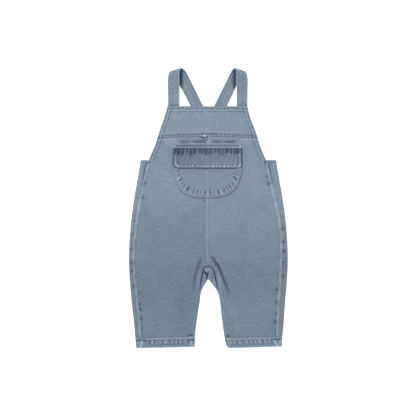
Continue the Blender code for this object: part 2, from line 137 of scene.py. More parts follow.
CREASES = [
    Crease(-11, 158, -23, 118, 5.0, -0.9),
    Crease(-22, 130, -25.5, 92, 5.0, -0.6),
    Crease(7, 160, 24, 126, 5.0, -1.1),
    Crease(21, 137, 39, 88, 6.0, -1.1),
    Crease(27, 90, 52, 46, 9.0, 0.7),
    Crease(52, 54, 53, 18, 9.0, 0.6),
    Crease(-47, 90, -45, 44, 8.0, -0.5),
    Crease(93, 272, 105, 228, 6.0, -0.6),
    Crease(-104, 262, -112, 214, 6.0, -0.4),
]
print("rows of lay:", len(FRONT_LAY), "creases:", len(CREASES))

# %% [markdown]
# Reading the pattern
#
# A smooth cubic through each table's rows gives the fair curve. Everything is worked out for whole
# arrays of points at once, because a panel has tens of thousands of points and Blender's Python
# would take minutes to visit them singly.

# %% Curves and soft steps
def read(table, column, height):
    """A table's column at any heights, on a smooth curve through its rows."""
    rows = sorted(table, key=lambda row: row.height)
    at = np.array([row.height for row in rows], float)
    value = np.array([getattr(row, column) for row in rows], float)
    slope = np.gradient(value, at)
    slope[1:-1] = (value[2:] - value[:-2]) / (at[2:] - at[:-2])
    h = np.clip(height, at[0], at[-1])
    i = np.clip(np.searchsorted(at, h, side="right") - 1, 0, len(at) - 2)
    span = at[i + 1] - at[i]
    t = (h - at[i]) / span
    ease = 3 * t**2 - 2 * t**3
    bend = slope[i] * (t**3 - 2 * t**2 + t) + slope[i + 1] * (t**3 - t**2)
    return value[i] * (1 - ease) + value[i + 1] * ease + span * bend


def read_side(table, side, height):
    return read(table, "left" if side == LEFT else "right", height)


def soft_step(value, low, high):
    t = np.clip((value - low) / (high - low), 0.0, 1.0)
    return t * t * (3 - 2 * t)


def stripe(distance, at, width):
    """A soft line along a seam: 1 on it, fading over its width."""
    return np.exp(-(((distance - at) / width) ** 2))


def double_cloth(distance, width):
    return 1.0 - soft_step(distance, width - HEM_STEP / 2, width + HEM_STEP / 2)


def rope(length, spacing, phase):
    """The uneven ripple of a shrunken seam along its length, from -1 to 1."""
    turn = 2 * np.pi * length / spacing + phase
    wander = 1.1 * np.sin(turn / 3.7 + 2 * phase) + 0.7 * np.sin(turn / 6.1 + phase)
    swell = 0.72 + 0.28 * np.sin(turn / 2.6 + 3 * phase)
    return swell * np.sin(turn + wander)


half_widths = [float(read_side(OUTLINE, side, 245.0)) for side in (LEFT, RIGHT)]
print("half widths half way up:", [round(width, 1) for width in half_widths])

# %% [markdown]
# The lie of the front
#
# A garment laid flat isn't quite flat: two layers and their folds hold the front some millimetres
# up, the legs swell a little between their edges, and a few long creases cross them. The height
# is a function of the place, so that panel, pocket, flap and stitches all share it.

# %% Height of the front's face
def front_edge(side, height):
    return read_side(FRONT_EDGE, side, height)


def centre_seam(height):
    return read(CENTRE_SEAM, "x", height)


def front_inner(side, height):
    arch = read_side(FRONT_INNER, side, height)
    return np.where(height >= ARCH_TOP, side * centre_seam(height), arch)


def by_side(function, x, height):
    """A measure that differs left and right, read for points on both sides."""
    return np.where(x < 0, function(LEFT, height), function(RIGHT, height))


def top_inner_limit(side, height):
    reach = read_side(INNER_EDGE, side, height) + FOLD_RADIUS
    return reach * soft_step(FORK - height, 0.0, 5.0)


def crease_height(x, height):
    total = np.zeros(np.broadcast(x, height).shape)
    for crease in CREASES:
        run_x, run_h = crease.to_x - crease.from_x, crease.to_height - crease.from_height
        squared = run_x**2 + run_h**2
        along = ((x - crease.from_x) * run_x + (height - crease.from_height) * run_h) / squared
        across = (x - crease.from_x) * run_h - (height - crease.from_height) * run_x
        across = across / math.sqrt(squared)
        ends = np.sin(np.pi * np.clip(along, 0.0, 1.0))
        total = total + crease.raise_by * ends * np.exp(-((across / crease.half_width) ** 2))
    return total


def lay_height(x, height):
    inner, outer = by_side(top_inner_limit, x, height), by_side(front_edge, x, height)
    u = np.clip((np.abs(x) - inner) / (outer - inner), 0.0, 1.0)
    inner_z, crown, outer_z = (read(FRONT_LAY, c, height) for c in ("inner", "crown", "outer"))
    shoulder = soft_step(u, PLATEAU, 1.0)
    arched = crown * 4 * u * (1 - u)
    return inner_z + (outer_z - inner_z) * shoulder + arched + crease_height(x, height)


print("front lies at", round(float(lay_height(60.0, 200.0)), 2), "mm at the thigh")

# %% [markdown]
# Hems and felled seams
#
# Where cloth is turned under, or two edges are folded into each other and sewn down, the face
# rises by about half a millimetre. That step catches the light, so it is real height here too.

# %% Hems and felled seams of the front
YOKE_HALF = 88.0


def yoke_bow(x):
    """How far the yoke seam bows up at the middle."""
    return YOKE_BOW * (1 - (x / YOKE_HALF) ** 2)


def yoke_line(x):
    return YOKE + yoke_bow(x)


def hem_height(x, height):
    leg_hem = double_cloth(height, LEG_HEM)
    edge = by_side(front_edge, x, height)
    side_hem = double_cloth(edge - np.abs(x), SIDE_HEM) * soft_step(height, 325.0, 333.0)
    below = yoke_line(x) - height
    under_yoke = np.where(below > 0, double_cloth(below, YOKE_BAND), 0.0)
    top_hem = double_cloth(BIB_TOP - height, BIB_TOP_HEM)
    highest = np.maximum.reduce([leg_hem, side_hem, under_yoke, top_hem])
    return HEM_RAISE * highest


def centre_fell_height(x, height):
    from_seam = centre_seam(height) - x
    felled = np.where(from_seam >= 0, double_cloth(from_seam, CENTRE_FELL), 0.0)
    return CENTRE_FELL_RAISE * felled * soft_step(height, 148.0, 156.0)


def front_height(x, height):
    return lay_height(x, height) + np.maximum(hem_height(x, height), centre_fell_height(x, height))


def bridged_height(x, height):
    """The front's face as a patch feels it, which bridges the felled seam in a low swell."""
    from_fell = np.abs(centre_seam(height) - CENTRE_FELL / 2 - x)
    swell = CENTRE_FELL_RAISE * (1 - soft_step(from_fell, *SEAM_SWELL))
    return lay_height(x, height) + np.maximum(hem_height(x, height), swell)


HEM_SLOPE = {LEFT: 2.3, RIGHT: 3.0}
HEM_LEVEL_FROM = 60.0
CORNER_RISE, CORNER_WIDTH, CORNER_HEIGHT = 5.0, 6.0, 12.0


def hem_rise(side, x, height):
    """The leg ends run slightly off level, and the right one is rounded at its inner corner."""
    inner, outer = float(read_side(INNER_EDGE, side, 0)), float(read_side(OUTLINE, side, 0))
    across = np.clip((x - inner) / (outer - inner), 0.0, 1.0)
    slope = HEM_SLOPE[side] * (1 - across if side == LEFT else across)
    rise = slope * (1.0 - soft_step(height, 0.0, HEM_LEVEL_FROM))
    if side == RIGHT:
        corner = CORNER_RISE * np.clip(1.0 - (x - inner) / CORNER_WIDTH, 0.0, None) ** 2
        rise = rise + corner * (1.0 - soft_step(height, 0.0, CORNER_HEIGHT))
    return rise


print("double cloth stands", HEM_RAISE, "mm proud")

# %% [markdown]
# Making a sheet of cloth
#
# A woven panel is a rectangle of threads that has been cut and bent, so each piece starts as a
# grid, whose points are then carried to their places. Every point also takes a number for its
# wear and its painted shade: above nought where stone washing has paled a ridge and where light is
# painted on a ridge, below nought where the indigo has stayed dark in a hollow and where shade is
# painted into a crease, a fold or a gap. A second map, in metres of cloth, carries the twill.
# Solidify gives the wall, towards the inside, and a fine bevel rounds the cut edges.

# %% A grid and its weave
def grid_mesh(name, rows, columns):
    """A flat grid, and the row and column of the arrays that each of its points stands for."""
    shape = bmesh.new()
    bmesh.ops.create_grid(shape, x_segments=columns - 1, y_segments=rows - 1, size=1.0)
    mesh = bpy.data.meshes.new(name)
    shape.to_mesh(mesh)
    shape.free()
    flat = np.empty(len(mesh.vertices) * 3, np.float32)
    mesh.vertices.foreach_get("co", flat)
    flat = flat.reshape(-1, 3)
    column = np.rint((flat[:, 0] + 1) / 2 * (columns - 1)).astype(int)
    row = np.rint((flat[:, 1] + 1) / 2 * (rows - 1)).astype(int)
    return mesh, row, column


def lay_weave(mesh, across, along):
    """The map of the cloth's own threads, in metres across and along the sheet."""
    threads = mesh.uv_layers.new(name="weave")
    corners = np.empty(len(mesh.loops), np.int32)
    mesh.loops.foreach_get("vertex_index", corners)
    placed = np.stack([across, along], axis=-1) * MM
    threads.uv.foreach_set("vector", placed[corners].astype(np.float32).ravel())


# %% Trimming and thickening
MERGE_WITHIN = 0.01
EDGE_ROUNDING = 0.3


def trim(mesh, row, column, gone, merge, flip):
    """Cuts cells away, joins points that fall together and turns the face outwards."""
    shape = bmesh.new()
    shape.from_mesh(mesh)
    if gone is not None:
        shape.faces.ensure_lookup_table()
        cut = []
        for face in shape.faces:
            spots = [vertex.index for vertex in face.verts]
            if gone[row[spots].min(), column[spots].min()]:
                cut.append(face)
        bmesh.ops.delete(shape, geom=cut, context="FACES")
    if merge:
        bmesh.ops.remove_doubles(shape, verts=shape.verts, dist=MERGE_WITHIN * MM)
    if flip:
        bmesh.ops.reverse_faces(shape, faces=shape.faces)
    shape.to_mesh(mesh)
    shape.free()
    mesh.shade_smooth()


def thicken(piece, wall):
    """The cloth's wall, towards the inside, and its rounded edges."""
    thickness = piece.modifiers.new("Wall", "SOLIDIFY")
    thickness.thickness = wall * MM
    thickness.offset = -1.0
    thickness.use_even_offset = True
    thickness.use_quality_normals = True
    edges = piece.modifiers.new("Edges", "BEVEL")
    edges.width = EDGE_ROUNDING * MM
    edges.segments = 2
    edges.limit_method = "ANGLE"
    edges.angle_limit = math.radians(60)


# %% The sheet maker
made = {}


def cloth_sheet(name, x, height, z, wear_and_shade, wall, weave, flip=False, gone=None, merge=False):
    """A cloth piece from arrays of points, one row of the array for each row of the grid."""
    rows, columns = x.shape
    mesh, row, column = grid_mesh(name + "_cloth", rows, columns)
    points = np.stack([x, height - GARMENT_TOP / 2, z], axis=-1)[row, column] * MM
    mesh.vertices.foreach_set("co", points.astype(np.float32).ravel())
    wear_and_shade_layer = mesh.attributes.new("wear_and_shade", "FLOAT", "POINT")
    wear_and_shade_layer.data.foreach_set("value", wear_and_shade[row, column].astype(np.float32))
    lay_weave(mesh, weave[0][row, column], weave[1][row, column])
    trim(mesh, row, column, gone, merge, flip)
    piece = bpy.data.objects.new(name + "_cloth", mesh)
    bpy.context.scene.collection.objects.link(piece)
    thicken(piece, wall)
    made[name] = piece
    print(f"{name}: {rows} x {columns} points")
    return piece


# %% [markdown]
# Light-wash denim
#
# Denim is a twill: blue warp threads run up the cloth and white weft threads across. Washing pales
# the tops of the ribs and every raised seam, and leaves the hollows dark. The material runs from a
# deep to a pale tone of one blue by a number for wear and painted shade, which also holds the
# painted shadows of creases, folds and gaps. Thick places in both sets of threads break it
# into short upright and level streaks, with small flecks, a slow mottle and the twill's own rib.

# %% Colours
def tone(red, green, blue):
    """A colour as read on a screen, 0 to 255, in the linear values that shaders use."""
    def linear(value):
        value /= 255.0
        return value / 12.92 if value <= 0.04045 else ((value + 0.055) / 1.055) ** 2.4
    return (linear(red), linear(green), linear(blue), 1.0)


def between(first, second):
    return tuple((a + b) / 2 for a, b in zip(first, second))


TONES = {
    "left_front": (118, 139, 157),
    "right_front": (121, 142, 159),
    "bib": (132, 152, 168),
    "pocket": (124, 145, 161),
    "pocket_flap": (113, 134, 151),
    "left_back": (122, 140, 156),
    "right_back": (122, 140, 156),
    "left_strap": (129, 145, 161),
    "right_strap": (129, 145, 161),
}
PALE = (190, 205, 216)
DEEP = (48, 66, 86)
print("washed from", DEEP, "to", PALE)

# %% The denim material
THREAD_PITCH = 0.00075
SLUB_WIDTH = 0.0013
SLUB_LENGTH = 0.0042
FLECK = 0.0011
CROSSHATCH = 0.0052
MOTTLE = 0.014
FADE = 0.07
Weights = namedtuple("Weights", "warp weft fleck crosshatch mottle fade rib")
WEIGHTS = Weights(warp=0.83, weft=0.34, fleck=0.92, crosshatch=0.014, mottle=0.2, fade=0.16, rib=0.2)
TWILL_ANGLE = math.radians(62)
BANDS_PER_UNIT = 0.314
RELIEF_DEPTH = 0.00025


def node(tree, kind, **settings):
    made_node = tree.nodes.new(kind)
    for key, value in settings.items():
        setattr(made_node, key, value)
    return made_node


def math_node(tree, operation, *values):
    step = node(tree, "ShaderNodeMath", operation=operation)
    for socket, value in zip(step.inputs, values):
        if isinstance(value, (int, float)):
            socket.default_value = value
        else:
            tree.links.new(value, socket)
    return step.outputs[0]


def noise(tree, vector, size_x, size_y, detail):
    """Blender's noise, in cells of the given size, as a number that swings either side of nought."""
    stretch = node(tree, "ShaderNodeVectorMath", operation="MULTIPLY")
    stretch.inputs[1].default_value = (1 / size_x, 1 / size_y, 1 / size_x)
    tree.links.new(vector, stretch.inputs[0])
    grain = node(tree, "ShaderNodeTexNoise")
    grain.inputs["Scale"].default_value = 1.0
    grain.inputs["Detail"].default_value = detail
    tree.links.new(stretch.outputs[0], grain.inputs["Vector"])
    return math_node(tree, "SUBTRACT", grain.outputs["Fac"], 0.5)


def thick_threads(tree, threads):
    """Thick threads that recur at a fixed step both ways."""
    parts = node(tree, "ShaderNodeSeparateXYZ")
    tree.links.new(threads, parts.inputs[0])
    turns = 2 * math.pi / CROSSHATCH
    phases = [math_node(tree, "MULTIPLY", parts.outputs[i], turns) for i in (0, 1)]
    return math_node(tree, "ADD", *[math_node(tree, "COSINE", phase) for phase in phases])


def twill(tree, threads):
    turned = node(tree, "ShaderNodeMapping")
    turned.inputs["Rotation"].default_value = (0, 0, TWILL_ANGLE)
    tree.links.new(threads, turned.inputs["Vector"])
    rib = node(tree, "ShaderNodeTexWave", wave_type="BANDS", bands_direction="X")
    rib.inputs["Scale"].default_value = BANDS_PER_UNIT / THREAD_PITCH
    rib.inputs["Distortion"].default_value = 0.6
    tree.links.new(turned.outputs[0], rib.inputs["Vector"])
    return math_node(tree, "SUBTRACT", rib.outputs["Fac"], 0.5)


def wash_ramp(tree, level, base):
    """The colour at a level of wear and painted shade from -1 to 1, even in steps of brightness."""
    ramp = node(tree, "ShaderNodeValToRGB")
    stops = ramp.color_ramp.elements
    stops[0].color, stops[1].color = tone(*DEEP), tone(*PALE)
    for position, colour in ((0.25, between(DEEP, base)), (0.5, base), (0.75, between(base, PALE))):
        stops.new(position).color = tone(*colour)
    tree.links.new(math_node(tree, "MULTIPLY_ADD", level, 0.5, 0.5), ramp.inputs["Fac"])
    return ramp.outputs["Color"]


def denim(name, base):
    material = bpy.data.materials.new(name)
    material.use_nodes = True
    tree = material.node_tree
    shader = tree.nodes["Principled BSDF"]
    threads = node(tree, "ShaderNodeUVMap", uv_map="weave").outputs[0]
    place = node(tree, "ShaderNodeTexCoord").outputs["Object"]
    level = node(tree, "ShaderNodeAttribute", attribute_name="wear_and_shade").outputs["Fac"]

    warp = noise(tree, threads, SLUB_WIDTH, SLUB_LENGTH, 1.0)
    weft = noise(tree, threads, SLUB_LENGTH, SLUB_WIDTH, 1.0)
    fleck = noise(tree, threads, FLECK, FLECK, 2.0)
    rib = twill(tree, threads)
    mottle = noise(tree, place, MOTTLE, MOTTLE, 1.0)
    fade = noise(tree, place, FADE, FADE, 1.0)
    sources = Weights(warp, weft, fleck, thick_threads(tree, threads), mottle, fade, rib)
    for source, weight in zip(sources, WEIGHTS):
        level = math_node(tree, "MULTIPLY_ADD", source, weight, level)
    tree.links.new(wash_ramp(tree, level, base), shader.inputs["Base Color"])

    bump = node(tree, "ShaderNodeBump")
    bump.inputs["Strength"].default_value = 0.45
    bump.inputs["Distance"].default_value = RELIEF_DEPTH
    relief = math_node(tree, "ADD", rib, math_node(tree, "ADD", warp, fleck))
    tree.links.new(relief, bump.inputs["Height"])
    tree.links.new(bump.outputs["Normal"], shader.inputs["Normal"])
    tree.links.new(math_node(tree, "MULTIPLY_ADD", fleck, 0.15, 0.88), shader.inputs["Roughness"])
    shader.inputs["Specular IOR Level"].default_value = 0.25
    shader.inputs["Sheen Weight"].default_value = 0.15
    shader.inputs["Sheen Roughness"].default_value = 0.5
    shader.inputs["Sheen Tint"].default_value = tone(205, 216, 226)
    return material


denims = {name: denim(name + "_denim", base) for name, base in TONES.items()}
print("denims mixed:", len(denims))

# %% [markdown]
# Worn and shaded places
#
# Washing and wearing draw their own picture on a garment: bright and dark spots where a hem's
# corner is many layers thick, a pale tack over a seam. Painted shade darkens the sharp folds that drop
# from the crotch, a few creases and the places under a tack and a pocket, and painted light marks the
# ridges beside some creases. They have no rule, so they are listed one by one, as soft ovals and as
# folds through a few points.

# %% Marks and folds, listed one by one
Mark = namedtuple("Mark", "x height reach_x reach_height level")
MARKS = [
    Mark(-117.0, 7.6, 6.4, 5.0, 0.42), Mark(-112.0, 2.6, 3.4, 1.2, -0.2),
    Mark(118.0, 9.2, 2.3, 4.6, 0.6), Mark(121.5, 9.2, 1.1, 4.6, -0.3), Mark(125.0, 9.2, 2.3, 4.6, 0.6),
    Mark(-29.3, 8.2, 3.4, 4.4, 0.42), Mark(-29.4, 14.6, 3.8, 2.0, -0.75),
    Mark(-29.5, 18.6, 4.6, 1.5, 0.35), Mark(-31.0, 22.8, 5.6, 1.3, -0.85),
    Mark(33.6, 21.0, 4.8, 1.8, -0.75), Mark(34.5, 17.0, 5.0, 1.3, 0.35),
    Mark(36.5, 9.0, 3.2, 4.4, 0.25),
    # Painted light on the ridges between the crotch creases and the inseams.
    Mark(-17.2, 126.0, 3.6, 20.0, 0.12), Mark(19.5, 115.0, 4.8, 22.0, 0.18),
    Mark(-0.6, 136.8, 6.4, 3.2, 0.16), Mark(7.2, 127.5, 2.2, 8.5, -0.35),
    # Painted shadow under the pocket's foot, then a pale line at its edge.
    Mark(-5.9, 257.4, 2.8, 1.9, -0.4), Mark(-0.5, 262.0, 6.5, 0.9, 0.4),
    # A pale worn tack over the centre seam, and painted shadow under it.
    Mark(-7.1, 371.5, 4.6, 1.8, 1.1), Mark(-8.0, 368.2, 5.4, 1.3, -1.1),
    Mark(-11.6, 370.6, 1.0, 2.6, -0.8), Mark(-1.4, 368.0, 1.0, 4.6, -0.8),
    Mark(2.6, 363.6, 1.3, 4.2, 0.42), Mark(-1.0, 361.6, 3.0, 2.0, 0.3),
    # Painted shade in the shallow creases under the yoke band, with one paler place.
    Mark(-42.0, 360.4, 10.0, 3.0, -0.32), Mark(-15.5, 361.0, 11.5, 2.6, -0.48),
    Mark(-8.6, 364.2, 5.0, 1.4, -0.3), Mark(13.5, 360.6, 9.5, 2.2, -0.42),
    Mark(37.0, 360.8, 10.5, 2.6, -0.46), Mark(-29.0, 358.0, 4.0, 1.4, 0.25),
    Mark(-68.0, 362.0, 15.0, 6.0, 0.15), Mark(66.0, 362.0, 13.0, 6.0, 0.15),
    Mark(-108.0, 323.4, 2.6, 1.9, -0.85), Mark(-102.6, 325.6, 1.5, 2.2, -0.75),
    Mark(-105.2, 329.2, 2.2, 1.5, 0.5), Mark(-99.2, 327.6, 1.6, 1.6, 0.4),
    Mark(-114.8, 321.6, 3.4, 1.0, 0.25),
    Mark(99.2, 325.2, 2.2, 2.4, -0.85), Mark(95.6, 328.6, 1.5, 1.6, 0.4),
    Mark(103.0, 322.4, 1.4, 2.2, 0.4), Mark(112.0, 321.6, 3.6, 1.0, 0.25),
]

Dimple = namedtuple("Dimple", "x height level")
DIMPLES = [
    Dimple(-121.2, 96.3, -0.3), Dimple(-120.1, 76.6, -0.5), Dimple(-118.9, 67.8, -0.42),
    Dimple(-117.4, 51.5, -0.62),
    Dimple(120.0, 101.8, -0.5), Dimple(118.8, 79.9, -0.5), Dimple(118.8, 60.2, -0.48),
    Dimple(116.8, 46.0, -0.6),
    Dimple(-110.2, 288.8, -0.65), Dimple(-103.7, 311.8, -0.3), Dimple(-114.5, 263.6, -0.45),
    Dimple(102.8, 300.8, -0.42), Dimple(105.4, 287.3, -0.55),
    Dimple(-134.3, 172.8, -0.4), Dimple(-134.5, 149.9, -0.45), Dimple(-134.0, 134.6, -0.5),
    Dimple(-131.4, 108.3, -0.4), Dimple(-132.4, 199.0, -0.35), Dimple(-129.6, 222.0, -0.3),
    Dimple(130.8, 209.0, -0.5), Dimple(131.6, 186.0, -0.65), Dimple(132.0, 169.6, -0.7),
    Dimple(132.0, 149.9, -0.4), Dimple(130.8, 125.8, -0.45), Dimple(127.5, 229.0, -0.3),
]
DIMPLE_REACH = (2.7, 3.2)
DIMPLE_DEPTH = 0.6

Fold = namedtuple("Fold", "width level soft beside depth points")
# Painted shade darkens the folds from the crotch and by the armholes; beside paints light on the ridge
# next to a fold; depth is real relief.
FOLDS = [
    Fold(
        1.6, -0.34, 0.6, 0.1, 0.4,
        [(-11.1, 161), (-16.4, 147.3), (-20.7, 135), (-24.2, 119.3), (-26, 95)],
    ),
    Fold(
        1.6, -0.72, 0.65, 0.14, 0.5,
        [(4, 163), (10.8, 152.5), (16.9, 144.6), (21.3, 135), (25.6, 122.8), (30.9, 110.5), (37, 93)],
    ),
    Fold(
        1.3, -1.9, 0.1, 0.1, 0.5,
        [(-8.8, 135.6), (-5.4, 131.6), (-2.4, 128.9), (-0.4, 130.8), (1.8, 134.2)],
    ),
    Fold(1.4, -1.9, 0.1, 0.1, 0.4, [(-2.6, 131), (-2.2, 125.5), (-1.6, 119.6)]),
    Fold(1.1, -0.8, 0.0, 0.0, 0.0, [(-128.6, 10.6), (-120.5, 15.5), (-109.1, 13.7), (-108.0, 7.4)]),
    Fold(1.1, -0.75, 0.0, 0.0, 0.0, [(110, 15.8), (120, 15.9), (131, 15.6)]),
    Fold(0.9, -0.6, 0.0, 0.0, 0.0, [(-116.3, 22.6), (-116.3, 40)]),
    Fold(0.9, -0.6, 0.0, 0.0, 0.0, [(118, 22.6), (118, 37.4)]),
    Fold(1.0, -0.9, 0.15, 0.0, 0.25, [(-110.4, 322), (-111.8, 309), (-115.7, 285.5), (-118.2, 268)]),
    Fold(1.0, -0.8, 0.15, 0.0, 0.25, [(104.6, 326), (107.2, 312), (110.6, 296), (113, 284)]),
    Fold(0.9, -0.7, 0.0, 0.0, 0.0, [(-120.5, 324.6), (-110.5, 324.6)]),
    Fold(0.9, -0.7, 0.0, 0.0, 0.0, [(104.5, 324.4), (121, 324.0)]),
]


def to_line(points, x, height):
    """How far each point lies from a line through the given points, and how far along it."""
    nearest = np.full(np.broadcast(x, height).shape, np.inf)
    along = np.zeros_like(nearest)
    for index, (start, end) in enumerate(zip(points, points[1:])):
        run_x, run_h = end[0] - start[0], end[1] - start[1]
        part = ((x - start[0]) * run_x + (height - start[1]) * run_h) / (run_x**2 + run_h**2)
        part = np.clip(part, 0.0, 1.0)
        off = np.hypot(x - start[0] - part * run_x, height - start[1] - part * run_h)
        along = np.where(off < nearest, (index + part) / (len(points) - 1), along)
        nearest = np.minimum(off, nearest)
    return nearest, along


def worn_and_shaded_places(x, height):
    """Relief, with the wear and the painted shade and light, of the marks, dimples and folds."""
    relief = np.zeros(np.broadcast(x, height).shape)
    wear_and_shade = np.zeros_like(relief)
    for mark in MARKS:
        across, up = (x - mark.x) / mark.reach_x, (height - mark.height) / mark.reach_height
        wear_and_shade = wear_and_shade + mark.level * np.exp(-((across**2 + up**2) ** 2))
    for dimple in DIMPLES:
        spot = stripe(x, dimple.x, DIMPLE_REACH[0]) * stripe(height, dimple.height, DIMPLE_REACH[1])
        relief = relief + DIMPLE_DEPTH * dimple.level * spot
        wear_and_shade = wear_and_shade + dimple.level * spot
    for fold in FOLDS:
        off, along = to_line(fold.points, x, height)
        taper = np.sin(np.pi * np.clip(along, 0.0, 1.0) ** 0.75) ** 0.6
        relief = relief - fold.depth * taper * stripe(off, 0.0, 1.3 * fold.width)
        # core is painted shade in the fold, beside is painted light on the ridge next to it.
        core = stripe(off, 0.0, fold.width) + fold.soft * stripe(off, 0.0, 2.6 * fold.width)
        beside = fold.beside * stripe(off, 2.8 * fold.width, 1.2 * fold.width)
        wear_and_shade = wear_and_shade + taper * (fold.level * core / (1 + fold.soft) + beside)
    return relief, wear_and_shade


print("marks:", len(MARKS), "dimples:", len(DIMPLES), "folds:", len(FOLDS))

# %% [markdown]
# Lines beside a seam
#
# A washed seam is read as a set of soft lines that run beside it: a pale ridge, a dark hollow along
# the stitches, another ridge. Shrinkage breaks some of them into a ripple of pale and dark. So a
# seam is a short table, with a row for each line: its level, its distance from the seam, its width,
# and what the ripple adds on its ridges and in its hollows. The same tables also paint the shadow
# that the front's edge casts inside the crotch.

# %% Lines of wear and painted shade
ToneLine = namedtuple("ToneLine", "level at width on_ridge in_hollow", defaults=(0.0, 0.0))


def wear_and_shade_lines(distance, lines, ripple=0.0, hollow_power=1.0):
    """The wear and painted shade of all lines of a table, at a distance from their seam."""
    ridge = np.clip(ripple, 0.0, 1.0)
    hollow = np.clip(-ripple, 0.0, 1.0) ** hollow_power
    wear_and_shade = 0.0
    for line in lines:
        level = line.level + line.on_ridge * ridge + line.in_hollow * hollow
        wear_and_shade = wear_and_shade + level * stripe(distance, line.at, line.width)
    return wear_and_shade


# %% [markdown]
# The lower front
#
# Two panels meet at a felled centre seam. Each runs from the leg hem to the yoke. Shrinkage puckers
# the hems and pulls small dark dimples beside the side seams, and abrasion draws a pale line on
# every seam. The body is palest under the bib and darkest at the thighs.

# %% Pocket and flap sizes
POCKET_CENTRE = -1.4
POCKET_HALF = 60.3
POCKET_BOTTOM, POCKET_MOUTH = 263.6, 338.9
POCKET_DROP = POCKET_MOUTH - POCKET_BOTTOM
POCKET_SQUARE = 3.0
POCKET_HEM = 8.0
POCKET_RAISE = 0.35
FLAP_LEFT, FLAP_RIGHT = -60.2, 57.3
FLAP_BOTTOM, FLAP_TOP = 315.4, 354.6
FLAP_CORNERS = (8.0, 5.0)
print("pocket:", 2 * POCKET_HALF, "mm wide,", round(POCKET_DROP, 1), "mm deep")
print("flap:", round(FLAP_RIGHT - FLAP_LEFT, 1), "mm wide,", round(FLAP_TOP - FLAP_BOTTOM, 1), "mm deep")


def pocket_distance(x, height):
    """Roughly how far outside the pocket's edge a point lies, in millimetres."""
    across = np.abs((x - POCKET_CENTRE) / POCKET_HALF)
    down = np.clip((POCKET_MOUTH - height) / POCKET_DROP, 0.0, None)
    return ((across**POCKET_SQUARE + down**POCKET_SQUARE) ** (1 / POCKET_SQUARE) - 1.0) * POCKET_HALF


def flap_distance(x, height):
    """How far outside the flap's rounded edge a point lies, in millimetres."""
    corner = sum(FLAP_CORNERS) / 2
    out_x = np.abs(x - (FLAP_LEFT + FLAP_RIGHT) / 2) - (FLAP_RIGHT - FLAP_LEFT) / 2 + corner
    out_h = np.abs(height - (FLAP_BOTTOM + FLAP_TOP) / 2) - (FLAP_TOP - FLAP_BOTTOM) / 2 + corner
    outside = np.hypot(np.clip(out_x, 0.0, None), np.clip(out_h, 0.0, None))
    return outside + np.minimum(np.maximum(out_x, out_h), 0.0) - corner


# %% Finish of the front's seams
Shade = namedtuple("Shade", "height level")
BODY_SHADE = [
    Shade(20, -0.07), Shade(58, -0.07), Shade(84, -0.10), Shade(137, -0.10), Shade(163, -0.04),
    Shade(200, 0.0), Shade(242, 0.06), Shade(267, 0.11), Shade(312, 0.11), Shade(373, 0.08),
]
LEG_HEM_LINES = [
    ToneLine(0.14, 0.6, 1.2), ToneLine(-0.3, 5.2, 0.95), ToneLine(0.0, 10.2, 3.6, 0.42, -0.68),
    ToneLine(-0.2, 12.9, 1.1), ToneLine(0.42, 16.1, 1.0), ToneLine(-0.2, 18.1, 0.9),
]
LEG_HEM_FADE = {LEFT: 0.07, RIGHT: 0.13}
LEG_PUCKER_SLANT = 0.3


def leg_hem_finish(x, height, side):
    """A turned leg hem: a pale ridge at its top, a sewn hollow and puckers below it."""
    slant = LEG_PUCKER_SLANT * height if side == RIGHT else 0.0
    pucker = rope(x + slant, spacing=8.5, phase=0.4 + side)
    inside = double_cloth(height, LEG_HEM)
    relief = inside * 0.3 * pucker * stripe(height, at=10.2, width=3.6)
    wear_and_shade = wear_and_shade_lines(height, LEG_HEM_LINES, pucker, hollow_power=1.4)
    return relief, wear_and_shade + LEG_HEM_FADE[side] * inside


# %% The side seams
SIDE_SEAM_TOP = (318.0, 326.0)
SEAM_STRAY = 0.5


def seam_ridge(from_seam, height, phase, way):
    """The pale ridge of a side seam, which strays; way is 1 on the front and -1 on the back."""
    strayed = from_seam - way * SEAM_STRAY * rope(height, spacing=23.0, phase=phase + 3)
    paler = 0.1 * rope(height, spacing=12.0, phase=phase)
    paler = paler + 0.16 * rope(height, spacing=31.0, phase=phase)
    below = 1.0 - soft_step(height, *SIDE_SEAM_TOP)
    return below * (0.5 + paler) * stripe(strayed, at=0.2, width=1.5)


def side_seam_finish(distance, height, phase):
    """The front's share of the pale ridge on the side seam."""
    wear_and_shade = seam_ridge(distance, height, phase, way=1)
    hollow = stripe(distance, at=3.6, width=1.2) * (1.0 - soft_step(height, 300.0, 320.0))
    wear_and_shade = wear_and_shade - 0.1 * hollow
    return 0.15 * wear_and_shade, wear_and_shade


SIDE_HEM_LINES = [
    ToneLine(0.18, 0.3, 0.9), ToneLine(-0.14, 3.0, 1.2, 0.0, -0.55), ToneLine(0.12, 5.4, 1.4, 0.36),
    ToneLine(-0.28, 8.6, 0.9),
]


def side_hem_finish(distance, height, phase):
    """Sewn lines and the ripple between them, on a turned armhole or bib edge."""
    ripple = rope(height, spacing=6.8, phase=phase)
    relief = 0.2 * ripple * stripe(distance, at=4.2, width=2.4)
    return relief, wear_and_shade_lines(distance, SIDE_HEM_LINES, ripple)


# %% The yoke band and the shadows round pocket, flap and arch
YOKE_LINES = [
    ToneLine(-0.7, 0.2, 1.2), ToneLine(0.0, 2.8, 1.6, 0.62, -0.95), ToneLine(-0.45, 5.4, 0.9),
    ToneLine(0.36, 7.7, 1.2), ToneLine(-0.16, 10.2, 1.1),
]


def yoke_finish(x, height):
    """The felled band under the yoke seam, closely puckered, and the dark dip below it."""
    below = yoke_line(x) - height
    ripple = rope(x, spacing=4.9, phase=0.6)
    relief = 0.2 * ripple * stripe(below, at=2.8, width=2.0)
    dip = stripe(below, at=14.0, width=3.6) * (1.0 - soft_step(np.abs(x), 44.0, 56.0))
    return relief, wear_and_shade_lines(below, YOKE_LINES, ripple) - 0.14 * dip


